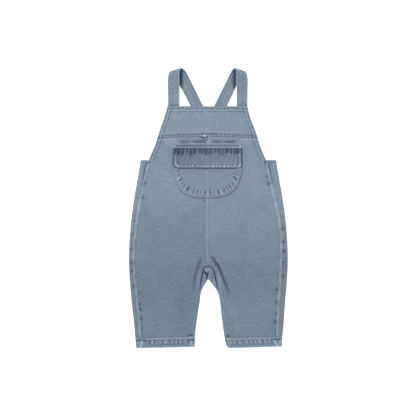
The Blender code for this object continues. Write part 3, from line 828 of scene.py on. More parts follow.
def patch_shadow(x, height):
    """Painted shadow that pocket and flap cast on the cloth round them, and a pale line above the flap.
    """
    from_flap = flap_distance(x, height)
    above = soft_step(height, 348.0, 353.0)
    light = 0.25 * above * stripe(from_flap, at=1.6, width=0.9)
    # Painted shadow beside the flap's sides and foot, and round the pocket's edge.
    flap_shadow = 0.75 * (1 - above) * stripe(from_flap, at=0.8, width=1.2)
    pocket_shadow = stripe(pocket_distance(x, height), at=0.6, width=1.2)
    return light - flap_shadow - 0.12 * pocket_shadow * (1 - soft_step(height, 314.0, 318.0))


ARCH_SHADOW_LEVEL = 1.15
ARCH_CORNERS = {LEFT: 4.4, RIGHT: 3.4}


def arch_wear_and_shadow(side, across, height):
    """Painted shadow in the gap round the crotch's arch, which thins out down the inner leg, and a pale
    line on the low inseam.
    """
    inseam = across - front_inner(side, height)
    above_arch = soft_step(height, ARCH_TOP - 1.5, ARCH_TOP)
    # Painted shadow along the arch's gap and over its top.
    gap_shadow = soft_step(height, 92.0, 122.0) * (1.0 - above_arch) * stripe(inseam, at=0.0, width=1.3)
    beyond = np.clip(across - ARCH_CORNERS[side], 0.0, None)
    over = np.hypot(beyond, np.clip(height - ARCH_TOP, 0.0, None))
    arch_top_shadow = above_arch * stripe(over, at=0.0, width=1.3)
    pale = (1.0 - soft_step(height, 96.0, 112.0)) * stripe(inseam, at=0.8, width=1.0)
    return 0.3 * pale - ARCH_SHADOW_LEVEL * (gap_shadow + arch_top_shadow)


print("lines across the leg hem:", len(LEG_HEM_LINES), "across the yoke band:", len(YOKE_LINES))

# %% [markdown]
# Cutting the front panels
#
# A panel's grid is finer where there is more to show: its rows crowd at the leg hem, the crotch and
# the yoke, and its columns at the centre and side seams. The rows are drawn level, and then bowed
# to the yoke seam at the top and tilted to the leg hem at the bottom.

# %% The front panels
def front_rows():
    top = YOKE - SEAM_GAP / 2
    parts = [np.linspace(0, 22, 36), np.linspace(22, 112, 70)[1:], np.linspace(112, 150, 52)[1:]]
    parts += [np.linspace(150, 350, 140)[1:], np.linspace(350, top, 34)[1:]]
    return np.concatenate(parts)


def front_columns():
    """Positions across a panel, closer together beside the seams."""
    parts = [np.linspace(0, 0.1, 21), np.linspace(0.1, 0.885, 82)[1:], np.linspace(0.885, 1, 27)[1:]]
    return np.concatenate(parts)


CENTRE_SEAM_LINES = [ToneLine(0.46, 0.4, 1.1, 0.04), ToneLine(-0.1, 3.4, 1.3)]
# Painted light on raised creases and painted shade in sunk ones, in step with their height.
CREASE_SHADE = 0.15


def front_wear_and_shade(side, x, height):
    """The centre seam's wear, the arch's wear and painted shadow, the painted shadow round the patches,
    and painted light and shade on the creases.
    """
    seam = side * (x - centre_seam(height))
    near_crotch = 1.0 - soft_step(height, 160.0, 195.0)
    wear_and_shade = soft_step(height, 146.0, 152.0) * wear_and_shade_lines(seam, CENTRE_SEAM_LINES, near_crotch)
    wear_and_shade = wear_and_shade + arch_wear_and_shadow(side, side * x, height) + patch_shadow(x, height)
    return wear_and_shade + read(BODY_SHADE, "level", height) + CREASE_SHADE * crease_height(x, height)


def front_panel(side, name, phase):
    height = front_rows()[:, None]
    inner = front_inner(side, height) + SEAM_GAP / 2
    outer = front_edge(side, height) - np.where(height <= BACK_TOP, SEAM_GAP / 2, 0.0)
    across = inner + (outer - inner) * front_columns()[None, :]
    x = side * across
    height = height + 0 * x
    level_until = YOKE - SEAM_GAP / 2 - YOKE_BAND - 1
    drawn = height + yoke_bow(x) * soft_step(height, 346.0, level_until)
    laid = drawn + hem_rise(side, across, height)
    edge = front_edge(side, height) - across
    on_armhole = soft_step(height, 326.0, 332.0)
    finishes = [
        leg_hem_finish(x, drawn, side),
        side_seam_finish(edge, height, phase),
        [on_armhole * value for value in side_hem_finish(edge, height, phase)],
        yoke_finish(x, drawn),
        worn_and_shaded_places(x, laid),
    ]
    relief = sum(finish[0] for finish in finishes)
    wear_and_shade = sum(finish[1] for finish in finishes) + front_wear_and_shade(side, x, height)
    z = front_height(x, drawn) + relief
    return cloth_sheet(name, x, laid, z, wear_and_shade, CLOTH, (x, drawn), flip=(side == LEFT))


front_panel(LEFT, "left_front", 0.4)
front_panel(RIGHT, "right_front", 2.1)

# %% [markdown]
# The back
#
# The back is wider than the front, so it rolls over the outer fold and meets the front at the side
# seam. It also rolls round the inner edge of each leg and shows inside the crotch. Each half is
# one grid whose columns follow the section round: top strip, outer fold, underside, inner fold.
# Above the crotch there is no inner fold, so those cells are cut away.

# %% Stations round the back's section
Zone = namedtuple("Zone", "name steps")
ZONES = [
    Zone("top_outer", 16), Zone("outer_fold", 14), Zone("bottom", 34),
    Zone("fold_low", 7), Zone("fold_high", 7), Zone("top_inner", 22),
]


def back_stations():
    """Names and positions of the grid's columns; the folds share their end columns."""
    stations = []
    for zone in ZONES:
        for i in range(zone.steps + 1):
            shared = zone.name in ("outer_fold", "bottom", "fold_low", "top_inner") and i == 0
            if not shared:
                stations.append((zone.name, i / zone.steps))
    return stations


print("columns round the back:", len(back_stations()))

# %% [markdown]
# Wear on the back
#
# The back shows in three places: outside the side seams, inside the arch and along the inner legs.
# The rest lies underneath, where its seam and hems are drawn plainly.

# %% The back's rows, wear and painted shadow
ARCH_END = ARCH_TOP - 2 * SEAM_GAP
CENTRE_EDGE = 0.02


def back_rows():
    parts = [np.linspace(0, 22, 34), np.linspace(22, 96, 54)[1:], np.linspace(96, FORK, 34)[1:]]
    parts += [np.linspace(124.6, ARCH_END, 30), np.linspace(150, BACK_TOP, 116)]
    return np.concatenate(parts)


BACK_HEM_LINES = [ToneLine(0.3, 0.0, 1.2), ToneLine(0.22, 6.8, 1.3), ToneLine(-0.28, 9.4, 0.9)]
# The first crotch line is painted shadow of the front's edge on the back; the second is a pale line.
CROTCH_SHADOW_AND_PALE_LINES = [ToneLine(-1.15, 0.0, 1.1), ToneLine(0.3, 1.9, 0.8)]
INNER_LEG_LINES = [ToneLine(-0.36, 1.1, 0.9)]


def back_top_finish(side, x, height, from_seam, phase):
    """Wear of the strip that rolls over the outer fold on to the front face."""
    wear_and_shade = seam_ridge(from_seam, height, phase, way=-1)
    wear_and_shade = wear_and_shade - 0.12 * stripe(from_seam, at=3.2, width=1.1)
    wear_and_shade = wear_and_shade + wear_and_shade_lines(BACK_TOP - height, BACK_HEM_LINES)
    return wear_and_shade + leg_hem_finish(side * x, height, side)[1] + read(BODY_SHADE, "level", height)


def crotch_wear_and_shadow(to_edge, height):
    """Wear of the cloth seen inside the arch and along the inner legs, with the painted shadow of the
    front's edge inside the arch.
    """
    high = soft_step(height, 94.0, 118.0)
    wear_and_shade = high * wear_and_shade_lines(to_edge, CROTCH_SHADOW_AND_PALE_LINES)
    wear_and_shade = wear_and_shade + (1 - high) * wear_and_shade_lines(to_edge, INNER_LEG_LINES)
    return wear_and_shade + leg_hem_finish(to_edge, height, LEFT)[1] + 0.4 * read(BODY_SHADE, "level", height)


# %% The back's section and cuts
def back_section(side, heights):
    """Every row's section round the back, across and up, with its side seam and its arch edge."""
    height = heights[:, None]
    open_leg = height <= FORK + 0.01
    seam = front_edge(side, height) + SEAM_GAP / 2
    outer = read_side(OUTLINE, side, height)
    inner = np.where(open_leg, read_side(INNER_EDGE, side, height), CENTRE_EDGE)
    radius = np.where(open_leg, FOLD_RADIUS, 0.0)
    hem = HEM_RAISE * double_cloth(height, LEG_HEM)
    outer_top = read(FRONT_LAY, "outer", height) + hem
    inner_top = lay_height(side * (inner + radius), height) + hem
    crotch_edge = front_inner(side, np.minimum(height, ARCH_END) + SEAM_GAP) - SEAM_GAP / 2
    stations = back_stations()
    x = np.zeros((len(heights), len(stations)))
    z = np.zeros_like(x)
    for column, (zone, part) in enumerate(stations):
        if zone == "top_outer":
            across = seam + (outer - FOLD_RADIUS - seam) * part
            level = lay_height(side * across, height) + hem
        elif zone == "outer_fold":
            across = outer - FOLD_RADIUS + FOLD_RADIUS * math.sin(math.pi * part)
            level = outer_top * (1 + math.cos(math.pi * part)) / 2
        elif zone == "bottom":
            across = outer - FOLD_RADIUS + (inner + radius - outer + FOLD_RADIUS) * part
            level = 0 * height
        elif zone == "top_inner":
            across = inner + radius + (crotch_edge - inner - radius) * part
            level = lay_height(side * across, height) + hem
        else:
            angle = math.pi / 2 * (part if zone == "fold_low" else 1 + part)
            across = inner + radius * (1 - math.sin(angle))
            shut = 0 * height if zone == "fold_low" else inner_top
            level = np.where(open_leg, inner_top * (1 - math.cos(angle)) / 2, shut)
        x[:, column] = across[:, 0]
        z[:, column] = level[:, 0]
    return x, z, seam, crotch_edge


def back_cuts(heights, names):
    """Cells cut away: the inner fold's shut middle, the fold above the fork, all above the arch."""
    fork_row = int(np.argmin(abs(heights - FORK)))
    arch_row = int(np.argmin(abs(heights - ARCH_END)))
    low, high = names.index("fold_low"), names.index("fold_high")
    gone = np.zeros((len(heights), len(names)), bool)
    gone[:, high - 1] = True
    gone[fork_row + 1:, low:names.index("top_inner") - 1] = True
    gone[arch_row:, high:] = True
    return gone


# %% The back panels
def back_wear_and_shade(side, x, height, zones, from_seam, to_edge, places, phase):
    """Wear, and painted shadow in the arch, of the strips that show on the front face, and plain seams
    underneath.
    """
    outside = np.isin(zones, ["top_outer", "outer_fold"])
    inside = zones == "top_inner"
    wear_and_shade = outside * back_top_finish(side, x, height, from_seam, phase)
    wear_and_shade = wear_and_shade + inside * crotch_wear_and_shadow(to_edge, height) + (outside | inside) * places
    hidden = 0.3 * stripe(x, at=0.4, width=1.0) * (height > FORK)
    hidden = hidden - 0.3 * stripe(height, at=BACK_TOP - 9.0, width=1.0)
    hidden = hidden + leg_hem_finish(side * x, height, side)[1]
    return wear_and_shade + np.isin(zones, ["bottom", "fold_low"]) * hidden


def back_panel(side, name, phase):
    heights = back_rows()
    names = [zone for zone, part in back_stations()]
    zones = np.array(names)[None, :]
    x, z, seam, crotch_edge = back_section(side, heights)
    height = heights[:, None] + 0 * x
    laid = height + hem_rise(side, x, height)
    relief, places = worn_and_shaded_places(side * x, laid)
    z = z + np.isin(zones, ["top_outer", "top_inner"]) * relief
    wear_and_shade = back_wear_and_shade(side, x, height, zones, x - seam, crotch_edge - x, places, phase)
    step = np.hypot(np.diff(x, axis=1), np.diff(z, axis=1))
    round_it = np.concatenate([np.zeros((len(heights), 1)), np.cumsum(step, axis=1)], axis=1)
    gone = back_cuts(heights, names)
    weave = (round_it, height)
    left = side == LEFT
    return cloth_sheet(name, side * x, laid, z, wear_and_shade, CLOTH, weave, flip=left, gone=gone, merge=True)


back_panel(LEFT, "left_back", 0.4)
back_panel(RIGHT, "right_back", 2.1)

# %% [markdown]
# The bib
#
# The bib is the palest panel, because it lies highest when the garment is washed. Its top and its
# two slanted sides are turned twice and sewn with two rows, which leaves a low welt with a ripple
# between the rows.

# %% The bib panel
BIB_BOTTOM = YOKE + SEAM_GAP / 2
BIB_HEM_LINES = [
    ToneLine(-0.1, 0.3, 0.8), ToneLine(-0.28, 4.3, 1.1, -0.3, 0.3), ToneLine(-0.1, 6.0, 0.9, -0.1, 0.1),
    ToneLine(-0.26, 9.7, 1.0),
]
BIB_RIDGES = [ToneLine(0.0, 2.4, 1.2, 0.44, -0.44), ToneLine(0.24, 7.7, 1.1, 0.12, -0.12)]
BIB_FOOT_LINES = [ToneLine(-0.4, 0.0, 0.8), ToneLine(0.1, 2.6, 1.3)]
BIB_FADE_ACROSS = 0.001


def bib_grid():
    """Places across and up the bib, and how far each is from the nearer side edge."""
    rows = np.concatenate([np.linspace(BIB_BOTTOM, 410, 46), np.linspace(410, BIB_TOP, 30)[1:]])
    height = rows[:, None]
    left, right = -front_edge(LEFT, height), front_edge(RIGHT, height)
    parts = [np.linspace(0, 0.09, 26), np.linspace(0.09, 0.91, 130)[1:], np.linspace(0.91, 1, 26)[1:]]
    x = left + (right - left) * np.concatenate(parts)[None, :]
    return x, height + 0 * x, np.minimum(x - left, right - x)


def bib_panel():
    x, height, edge = bib_grid()
    down = BIB_TOP - height
    bow = yoke_bow(x) * (1 - soft_step(height, BIB_BOTTOM + 2, 405.0))
    ripple = rope(x, spacing=6.6, phase=0.3)
    fine_ripple = rope(x, spacing=4.6, phase=1.9)
    relief, wear_and_shade = side_hem_finish(edge, height, 0.9)
    relief = relief + 0.14 * ripple * stripe(down, at=5.0, width=3.0)
    wear_and_shade = wear_and_shade + wear_and_shade_lines(down, BIB_HEM_LINES, ripple)
    wear_and_shade = wear_and_shade + wear_and_shade_lines(down, BIB_RIDGES, fine_ripple)
    wear_and_shade = wear_and_shade - BIB_FADE_ACROSS * x * stripe(down, at=7.7, width=1.1)
    wear_and_shade = wear_and_shade + wear_and_shade_lines(height - BIB_BOTTOM, BIB_FOOT_LINES)
    hems = np.maximum(double_cloth(edge, SIDE_HEM), double_cloth(down, BIB_TOP_HEM))
    z = lay_height(x, height) + HEM_RAISE * hems + relief
    return cloth_sheet("bib", x, height + bow, z, wear_and_shade, CLOTH, (x, height))


bib_panel()

# %% [markdown]
# The patch pocket
#
# The pocket is a U-shaped patch. Its grid runs round the U: one direction follows the edge, the
# other goes from the middle of the mouth out to the edge, so the turned border and its puckers
# follow the curve. It is laid on the front's own surface, moved out by a wall and a small gap.

# %% The pocket
def pocket_rim():
    """Evenly spaced places along the pocket's edge, from one end of its mouth to the other."""
    angle = np.linspace(0.0, np.pi, 4001)
    power = 2 / POCKET_SQUARE
    across = -np.sign(np.cos(angle)) * np.abs(np.cos(angle)) ** power
    down = np.abs(np.sin(angle)) ** power
    step = np.hypot(np.diff(across) * POCKET_HALF, np.diff(down) * POCKET_DROP)
    run = np.concatenate([[0.0], np.cumsum(step)])
    even = np.linspace(0.0, run[-1], 200)
    return np.interp(even, run, across), np.interp(even, run, down), even


POCKET_LINES = [
    ToneLine(-0.08, 0.0, 0.9), ToneLine(0.16, 1.6, 1.2), ToneLine(0.0, 5.6, 3.0, 0.52),
    ToneLine(0.0, 7.2, 2.5, 0.0, -1.15),
]
POCKET_FOOT_LINES = [ToneLine(0.3, -0.2, 1.0), ToneLine(-0.22, 2.6, 1.3)]


def patch_pocket():
    hem_level = 1 - POCKET_HEM / POCKET_HALF
    level = np.concatenate([np.linspace(0.0, 0.76, 22), np.linspace(0.76, 1.0, 30)[1:]])[:, None]
    across, down, run = pocket_rim()
    x = POCKET_CENTRE + POCKET_HALF * level * across[None, :]
    height = POCKET_MOUTH - POCKET_DROP * level * down[None, :]
    inside = -pocket_distance(x, height)
    pucker = rope(run[None, :], spacing=8.7, phase=0.2)
    relief = 0.3 * pucker * stripe(inside, at=6.0, width=3.6)
    wear_and_shade = wear_and_shade_lines(inside, POCKET_LINES, pucker, hollow_power=1.5)
    at_foot = stripe(x, at=POCKET_CENTRE, width=22.0)
    wear_and_shade = wear_and_shade + at_foot * wear_and_shade_lines(height - POCKET_BOTTOM, POCKET_FOOT_LINES)
    wear_and_shade = wear_and_shade + 0.12 * stripe(x, at=-2.6, width=1.6) * (height < 316)
    from_flap = flap_distance(x, height)
    # Painted shadow of the flap's edge on the pocket.
    wear_and_shade = wear_and_shade - 0.75 * stripe(from_flap, at=0.8, width=1.2) * (from_flap > -1)
    hem = POCKET_RAISE * soft_step(level, hem_level - 0.011, hem_level + 0.011)
    z = bridged_height(x, height) + LAY_GAP + CLOTH + hem + relief
    return cloth_sheet("pocket", x, height, z, wear_and_shade, CLOTH, (x, height), flip=True, merge=True)


patch_pocket()

# %% [markdown]
# The pocket flap
#
# The flap is sewn down above the pocket's mouth and gathers where its top seam draws it in. The
# gathers are painted as the darkest part of the garment, as shade in their small folds. A stitched
# border runs round the other three sides. The flap steps up where it passes over the pocket.

# %% The flap
GATHERS = 20
GATHER_RAISE = 0.5


def flap_side(height, edge, corner):
    low = np.clip(corner - (height - FLAP_BOTTOM), 0.0, corner)
    return edge - np.sign(edge) * (corner - np.sqrt(corner**2 - low**2))


def flap_height(x, height):
    """The flap's face, on the front above the pocket and on the pocket below, and its gathers."""
    part = (x - FLAP_LEFT) / (FLAP_RIGHT - FLAP_LEFT)
    over_pocket = (CLOTH + POCKET_RAISE + LAY_GAP) * (1 - soft_step(height, 340.0, 350.0))
    wave = 0.5 - 0.5 * np.cos(2 * np.pi * (GATHERS * part + 0.25 * np.sin(11 * part)))
    drawn = soft_step(height, 329.0, 343.0) * (1 - soft_step(height, 349.0, FLAP_TOP))
    depth = GATHER_RAISE * (0.75 + 0.25 * np.sin(17 * part))
    return bridged_height(x, height) + LAY_GAP + CLOTH + over_pocket + depth * wave * drawn, wave


print("gathers under the flap's seam:", GATHERS)

# %% [markdown]
# Painted shade in the gathers
#
# Under the top seam the cloth is drawn together, and shade is painted into each small fold. The
# dark band is broken into upright streaks of two sizes, and its foot is ragged. Below it the flap is
# smooth.

# %% Wear and painted shade of the flap's gathered top
FLAP_STITCH = 4.3
PALE_GATHERS = (-42.6, -35.6, -23.4, 2.9, 10.9, 23.9, 44.9)


def gather_shade(x, down, wave):
    """Painted shade in the gathers' folds, lighter where a few of them are rubbed pale."""
    foot = 12.6 + 2.2 * rope(x, spacing=23.0, phase=1.7)
    gathered = soft_step(down, 4.8, 6.2) * (1 - soft_step(down, foot, foot + 5.0))
    slant = 0.05 * (down - 10.0)
    streaks = rope(x + slant, spacing=6.9, phase=0.8) + 0.35 * rope(x, spacing=3.3, phase=2.2)
    rubbed = sum(stripe(x, at=place + slant, width=1.5) for place in PALE_GATHERS)
    ends = stripe(x, FLAP_LEFT + 2.5, 2.5) + stripe(x, FLAP_RIGHT - 2.5, 2.5)
    seams = stripe(x, FLAP_LEFT + 7.8, 1.1) + stripe(x, FLAP_RIGHT - 9.4, 1.1)
    dark = 0.64 - 0.46 * streaks + 0.12 * (1 - wave)
    return gathered * (0.3 * rubbed - dark - 0.1 * ends - 0.5 * seams)


def flap_top_wear_and_shade(x, height, wave):
    """The sewn welt at the top, the painted shade of the gathers under it and the fading below them."""
    down = FLAP_TOP - height
    dotted = 0.5 + 0.5 * np.cos(2 * np.pi * x / FLAP_STITCH)
    wear_and_shade = 0.7 * (dotted - 0.35) * stripe(down, at=3.9, width=1.3)
    wear_and_shade = wear_and_shade - 0.75 * stripe(down, at=0.2, width=1.0) - 0.5 * stripe(down, at=6.1, width=1.1)
    tacks = stripe(x, FLAP_LEFT + 0.6, 1.6) + stripe(x, FLAP_RIGHT - 0.8, 2.4)
    wear_and_shade = wear_and_shade + 1.3 * tacks * stripe(down, at=1.6, width=2.0)
    faded = soft_step(down, 13.0, 18.0) * (1 - soft_step(down, 20.0, 30.0))
    wear_and_shade = wear_and_shade - faded * (0.16 - 0.12 * rope(x + 0.5 * down, spacing=11.0, phase=2.3))
    return wear_and_shade + gather_shade(x, down, wave)


# %% Wear of the flap's border
Border = namedtuple("Border", "lines stitched_at stitched_below")
LEFT_BORDER = Border([ToneLine(-0.2, 0.0, 1.0), ToneLine(0.34, 3.2, 2.2)], 6.5, 350)
RIGHT_BORDER = Border([ToneLine(-0.2, 0.0, 1.0), ToneLine(0.34, 2.2, 1.5)], 4.8, 336)
FLAP_FOOT_LINES = [ToneLine(-0.25, 0.0, 0.9), ToneLine(0.2, 3.6, 2.0, 0.56, -0.56)]
FLAP_INNER_LINES = [ToneLine(-0.5, 6.6, 0.95), ToneLine(0.16, 8.8, 1.2), ToneLine(-0.3, 11.1, 0.8)]


def border_side(inside, height, border):
    """One upright side of the border, with its dark row of stitches."""
    low = 1 - soft_step(height, 336.5, 341.0)
    sewn = (height - FLAP_BOTTOM > 5.5) * (height < border.stitched_below)
    row = stripe(inside, at=border.stitched_at, width=0.95)
    return low * wear_and_shade_lines(inside, border.lines) - 0.8 * row * sewn


def flap_border_wear(x, height, left_in, right_in):
    """The stitched border round the flap's lower part."""
    up = height - FLAP_BOTTOM
    sides = border_side(left_in, height, LEFT_BORDER) + border_side(right_in, height, RIGHT_BORDER)
    between_sides = soft_step(left_in, 5.5, 8.0) * soft_step(right_in, 3.5, 6.0)
    foot = wear_and_shade_lines(up, FLAP_FOOT_LINES, rope(x, spacing=6.7, phase=1.1))
    return sides + foot + between_sides * wear_and_shade_lines(up, FLAP_INNER_LINES)


# %% The flap itself
def pocket_flap():
    rows = np.concatenate([np.linspace(FLAP_BOTTOM, 324, 20), np.linspace(324, FLAP_TOP, 50)[1:]])
    height = rows[:, None]
    left = flap_side(height, FLAP_LEFT, FLAP_CORNERS[0])
    right = flap_side(height, FLAP_RIGHT, FLAP_CORNERS[1])
    x = left + (right - left) * np.linspace(0.0, 1.0, 241)[None, :]
    height = height + 0 * x
    z, wave = flap_height(x, height)
    left_in, right_in = x - left, right - x
    wear_and_shade = flap_top_wear_and_shade(x, height, wave) + flap_border_wear(x, height, left_in, right_in)
    wear_and_shade = wear_and_shade + 0.16 * soft_step(x, -50.0, 20.0) - 0.08
    inside = np.minimum(np.minimum(left_in, right_in), height - FLAP_BOTTOM)
    ripple = rope(x, spacing=8.6, phase=1.1) + rope(height, spacing=6.1, phase=0.2)
    puckered = stripe(inside, at=3.4, width=2.6) * (1 - soft_step(height, 334.0, 341.0))
    return cloth_sheet("pocket_flap", x, height, z + 0.1 * ripple * puckered, wear_and_shade, CLOTH, (x, height))


pocket_flap()

# %% [markdown]
# The straps
#
# A strap is a flat tube of denim. It leaves the bib's top hem, rises, turns over at the shoulder
# and runs back down behind the bib, where the two straps cross and are sewn to the back. The turn
# is held as a few sections across the strap, each by its two edges, with a smooth curve between.

# %% Sections along a strap
Section = namedtuple("Section", "outer_x outer_height outer_z inner_x inner_height inner_z")
STRAP_TURN = [
    Section(69.7, 415.6, 1.60, 50.0, 415.6, 1.60),
    Section(69.7, 424.6, 1.60, 50.0, 424.6, 1.60),
    Section(69.7, 438.0, 2.50, 50.0, 438.0, 2.70),
    Section(69.8, 452.0, 4.60, 50.1, 453.0, 5.40),
    Section(70.0, 465.0, 6.90, 50.2, 468.0, 8.60),
    Section(69.3, 475.5, 8.40, 50.1, 480.0, 10.8),
    Section(67.3, 482.0, 7.60, 49.2, 487.5, 10.2),
    Section(64.4, 485.2, 4.80, 47.2, 490.4, 7.00),
    Section(61.8, 483.2, 1.70, 44.0, 489.2, 3.00),
    Section(59.0, 477.9, 0.20, 40.3, 485.8, 0.60),
]
STRAP_WIDTH = 20.4
STRAP_LEAN = math.radians(26.2)
STRAP_CROSSING = 381.8
STRAP_END = 309.0
STRAIGHT_FROM = 475.0

Lift = namedtuple("Lift", "height z")
UPPER_LIFT = [
    Lift(475, 0), Lift(421, 0), Lift(403, 1.9), Lift(346, 1.9), Lift(336, 1.5), Lift(300, 1.5),
]
LOWER_LIFT = [Lift(475, 0), Lift(351, 0), Lift(336, 1.5), Lift(300, 1.5)]


def straight_sections(lift_table):
    across_x = -math.cos(STRAP_LEAN) * STRAP_WIDTH / 2
    across_h = math.sin(STRAP_LEAN) * STRAP_WIDTH / 2
    sections = []
    for height in np.linspace(STRAIGHT_FROM, STRAP_END, 110):
        x = (height - STRAP_CROSSING) * math.tan(STRAP_LEAN)
        z = float(read(lift_table, "z", height))
        sections.append(Section(x - across_x, height - across_h, z, x + across_x, height + across_h, z))
    return sections


def fair(sections, steps):
    """More sections between the given ones, on a Catmull-Rom curve through them."""
    table = np.array(sections, float)
    padded = np.concatenate([table[:1], table, table[-1:]])
    out = []
    for i in range(len(table) - 1):
        a, b, c, d = padded[i:i + 4]
        for t in np.arange(steps) / steps:
            cubic = (3 * b - a - 3 * c + d) * t**3
            out.append(0.5 * (2 * b + (c - a) * t + (2 * a - 5 * b + 4 * c - d) * t**2 + cubic))
    return np.array(out)


print("sections in a strap's turn:", len(fair(STRAP_TURN, 12)))

# %% [markdown]
# Laying the straps
#
# Both straps are the same cut, mirrored. The left one crosses on top, so it is lifted by a little
# more than a wall where they meet. In front the left strap lies a millimetre further out than the
# pattern has it, and the right one a millimetre further in, as cloth laid by hand does.

# %% The straps themselves
STRAP_COLUMNS = 21
def strap_points(side, lift_table, front_shift, back_shift):
    straight = straight_sections(lift_table)
    table = np.concatenate([fair(STRAP_TURN + straight[:1], 12), np.array(straight)])
    part = np.linspace(0.0, 1.0, STRAP_COLUMNS)[None, :]
    x = table[:, 0:1] + (table[:, 3:4] - table[:, 0:1]) * part
    height = table[:, 1:2] + (table[:, 4:5] - table[:, 1:2]) * part
    z = np.maximum(table[:, 2:3] + (table[:, 5:6] - table[:, 2:3]) * part, 0.0)
    shift = back_shift + (front_shift - back_shift) * soft_step(x, 35.0, 60.0)
    x = x + shift
    middle = STRAP_COLUMNS // 2
    line = np.stack([x[:, middle], height[:, middle], z[:, middle]], axis=-1)
    steps = np.linalg.norm(np.diff(line, axis=0), axis=1)
    run = np.concatenate([[0.0], np.cumsum(steps)])[:, None]
    return side * x, height, z, run, part


STRAP_EDGE_LINES = [ToneLine(0.24, 0.7, 1.2), ToneLine(-0.16, 2.9, 0.8, -0.08, 0.08)]
STRAP_BACK_LINES = [ToneLine(-0.42, 3.8, 0.8), ToneLine(0.36, 5.5, 1.0), ToneLine(-0.42, 7.2, 0.8)]
STRAP_FOLD = 49.6


def strap(side, name, lift_table, front_shift, back_shift, phase):
    x, height, z, run, part = strap_points(side, lift_table, front_shift, back_shift)
    from_outer = part * STRAP_WIDTH
    from_inner = STRAP_WIDTH - from_outer
    ripple = rope(run, spacing=7.4, phase=phase)
    wear_and_shade = sum(wear_and_shade_lines(edge, STRAP_EDGE_LINES, ripple) for edge in (from_outer, from_inner))
    dashes = np.clip(ripple, 0, 1) * stripe(from_outer, at=8.5 + 0.8 * ripple, width=1.3)
    pale_edge = soft_step(run, 38.0, 56.0) * stripe(from_inner, at=0.6, width=1.0)
    # A pale band up the strap, and painted shadow of the bib's top edge across the strap.
    pale_band_and_bib_shadow = 0.1 * stripe(height, at=437.0, width=9.0) - 0.16 * stripe(height, at=425.2, width=1.6)
    in_front = 0.3 * pale_edge - 0.6 * dashes + pale_band_and_bib_shadow
    # Painted shadow on the back run, under the front run where the strap turns over.
    in_turn = soft_step(height, 448.0, 460.0)
    turn_shadow = in_turn * stripe(np.abs(x), at=STRAP_FOLD + front_shift - 2.6, width=3.0)
    behind = wear_and_shade_lines(from_inner, STRAP_BACK_LINES) - 0.95 * turn_shadow
    turned = soft_step(run, 72.0, 80.0)
    wear_and_shade = wear_and_shade + (1 - turned) * in_front + turned * behind
    weave = (from_outer + 0 * run, run + 0 * part)
    return cloth_sheet(name, x, height, z, wear_and_shade, STRAP_CLOTH, weave, flip=(side == RIGHT))


Shift = namedtuple("Shift", "front back")
LEFT_SHIFT, RIGHT_SHIFT = Shift(1.1, -0.5), Shift(-1.1, 0.5)
strap(LEFT, "left_strap", UPPER_LIFT, *LEFT_SHIFT, phase=0.8)
strap(RIGHT, "right_strap", LOWER_LIFT, *RIGHT_SHIFT, phase=2.4)

# %% [markdown]
# Giving each piece its denim
#
# Each piece takes its own batch of the denim, hides the construction solid that it stands for,
# and rides on the one body that the garment has. A table lists the size of the rectangle each was
# cut from and the area of the cut itself.

# %% Cut sizes
Cut = namedtuple("Cut", "piece slot width length area rests_on")
CUTS = [
    Cut("left_front", "body_denim", 0.131, 0.375, 0.0387, ["left_back"]),
    Cut("right_front", "body_denim", 0.131, 0.375, 0.0381, ["right_back"]),
    Cut("left_back", "back_denim", 0.172, 0.332, 0.0506, []),
    Cut("right_back", "back_denim", 0.172, 0.332, 0.0510, []),
    Cut("bib", "bib_denim", 0.176, 0.052, 0.0080, ["left_strap", "right_strap"]),
    Cut("pocket", "pocket_denim", 0.121, 0.076, 0.0081, ["left_front", "right_front"]),
    Cut("pocket_flap", "flap_denim", 0.123, 0.041, 0.0048, ["left_front", "right_front", "pocket"]),
    Cut("left_strap", "strap_denim", 0.0204, 0.262, None, ["right_strap", "right_back"]),
    Cut("right_strap", "strap_denim", 0.0204, 0.262, None, ["left_back"]),
]
for cut in CUTS:
    piece = made[cut.piece]
    piece.data.materials.append(denims[cut.piece])
    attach(piece, "root")
    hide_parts(cut.piece)
print("pieces dressed:", len(CUTS))

# %% [markdown]
# Stitches
#
# Every row of stitches is a chain of short threads lying in the cloth. One small rounded thread is
# placed again and again along each seam line, a joined mesh for each piece. The thread is a pale
# blue, close to the washed denim, so that the rows read as fine light dashes.

# %% Thread
def thread_material(name, dark, pale):
    material = bpy.data.materials.new(name)
    material.use_nodes = True
    tree = material.node_tree
    shader = tree.nodes["Principled BSDF"]
    place = node(tree, "ShaderNodeTexCoord").outputs["Object"]
    twist = noise(tree, place, 0.0011, 0.0011, 2.0)
    ramp = node(tree, "ShaderNodeValToRGB")
    ramp.color_ramp.elements[0].color = dark
    ramp.color_ramp.elements[1].color = pale
    tree.links.new(math_node(tree, "ADD", twist, 0.5), ramp.inputs["Fac"])
    tree.links.new(ramp.outputs["Color"], shader.inputs["Base Color"])
    shader.inputs["Roughness"].default_value = 0.75
    return material


BLUE_THREAD = thread_material("blue_thread", tone(100, 121, 138), tone(146, 165, 180))
PALE_THREAD = thread_material("pale_thread", tone(140, 158, 173), tone(196, 208, 217))
STITCH_PITCH = 3.1
STITCH_LENGTH = 2.4
STITCH_WIDTH = 0.55
FLAP_STITCH_WIDTH = 0.8


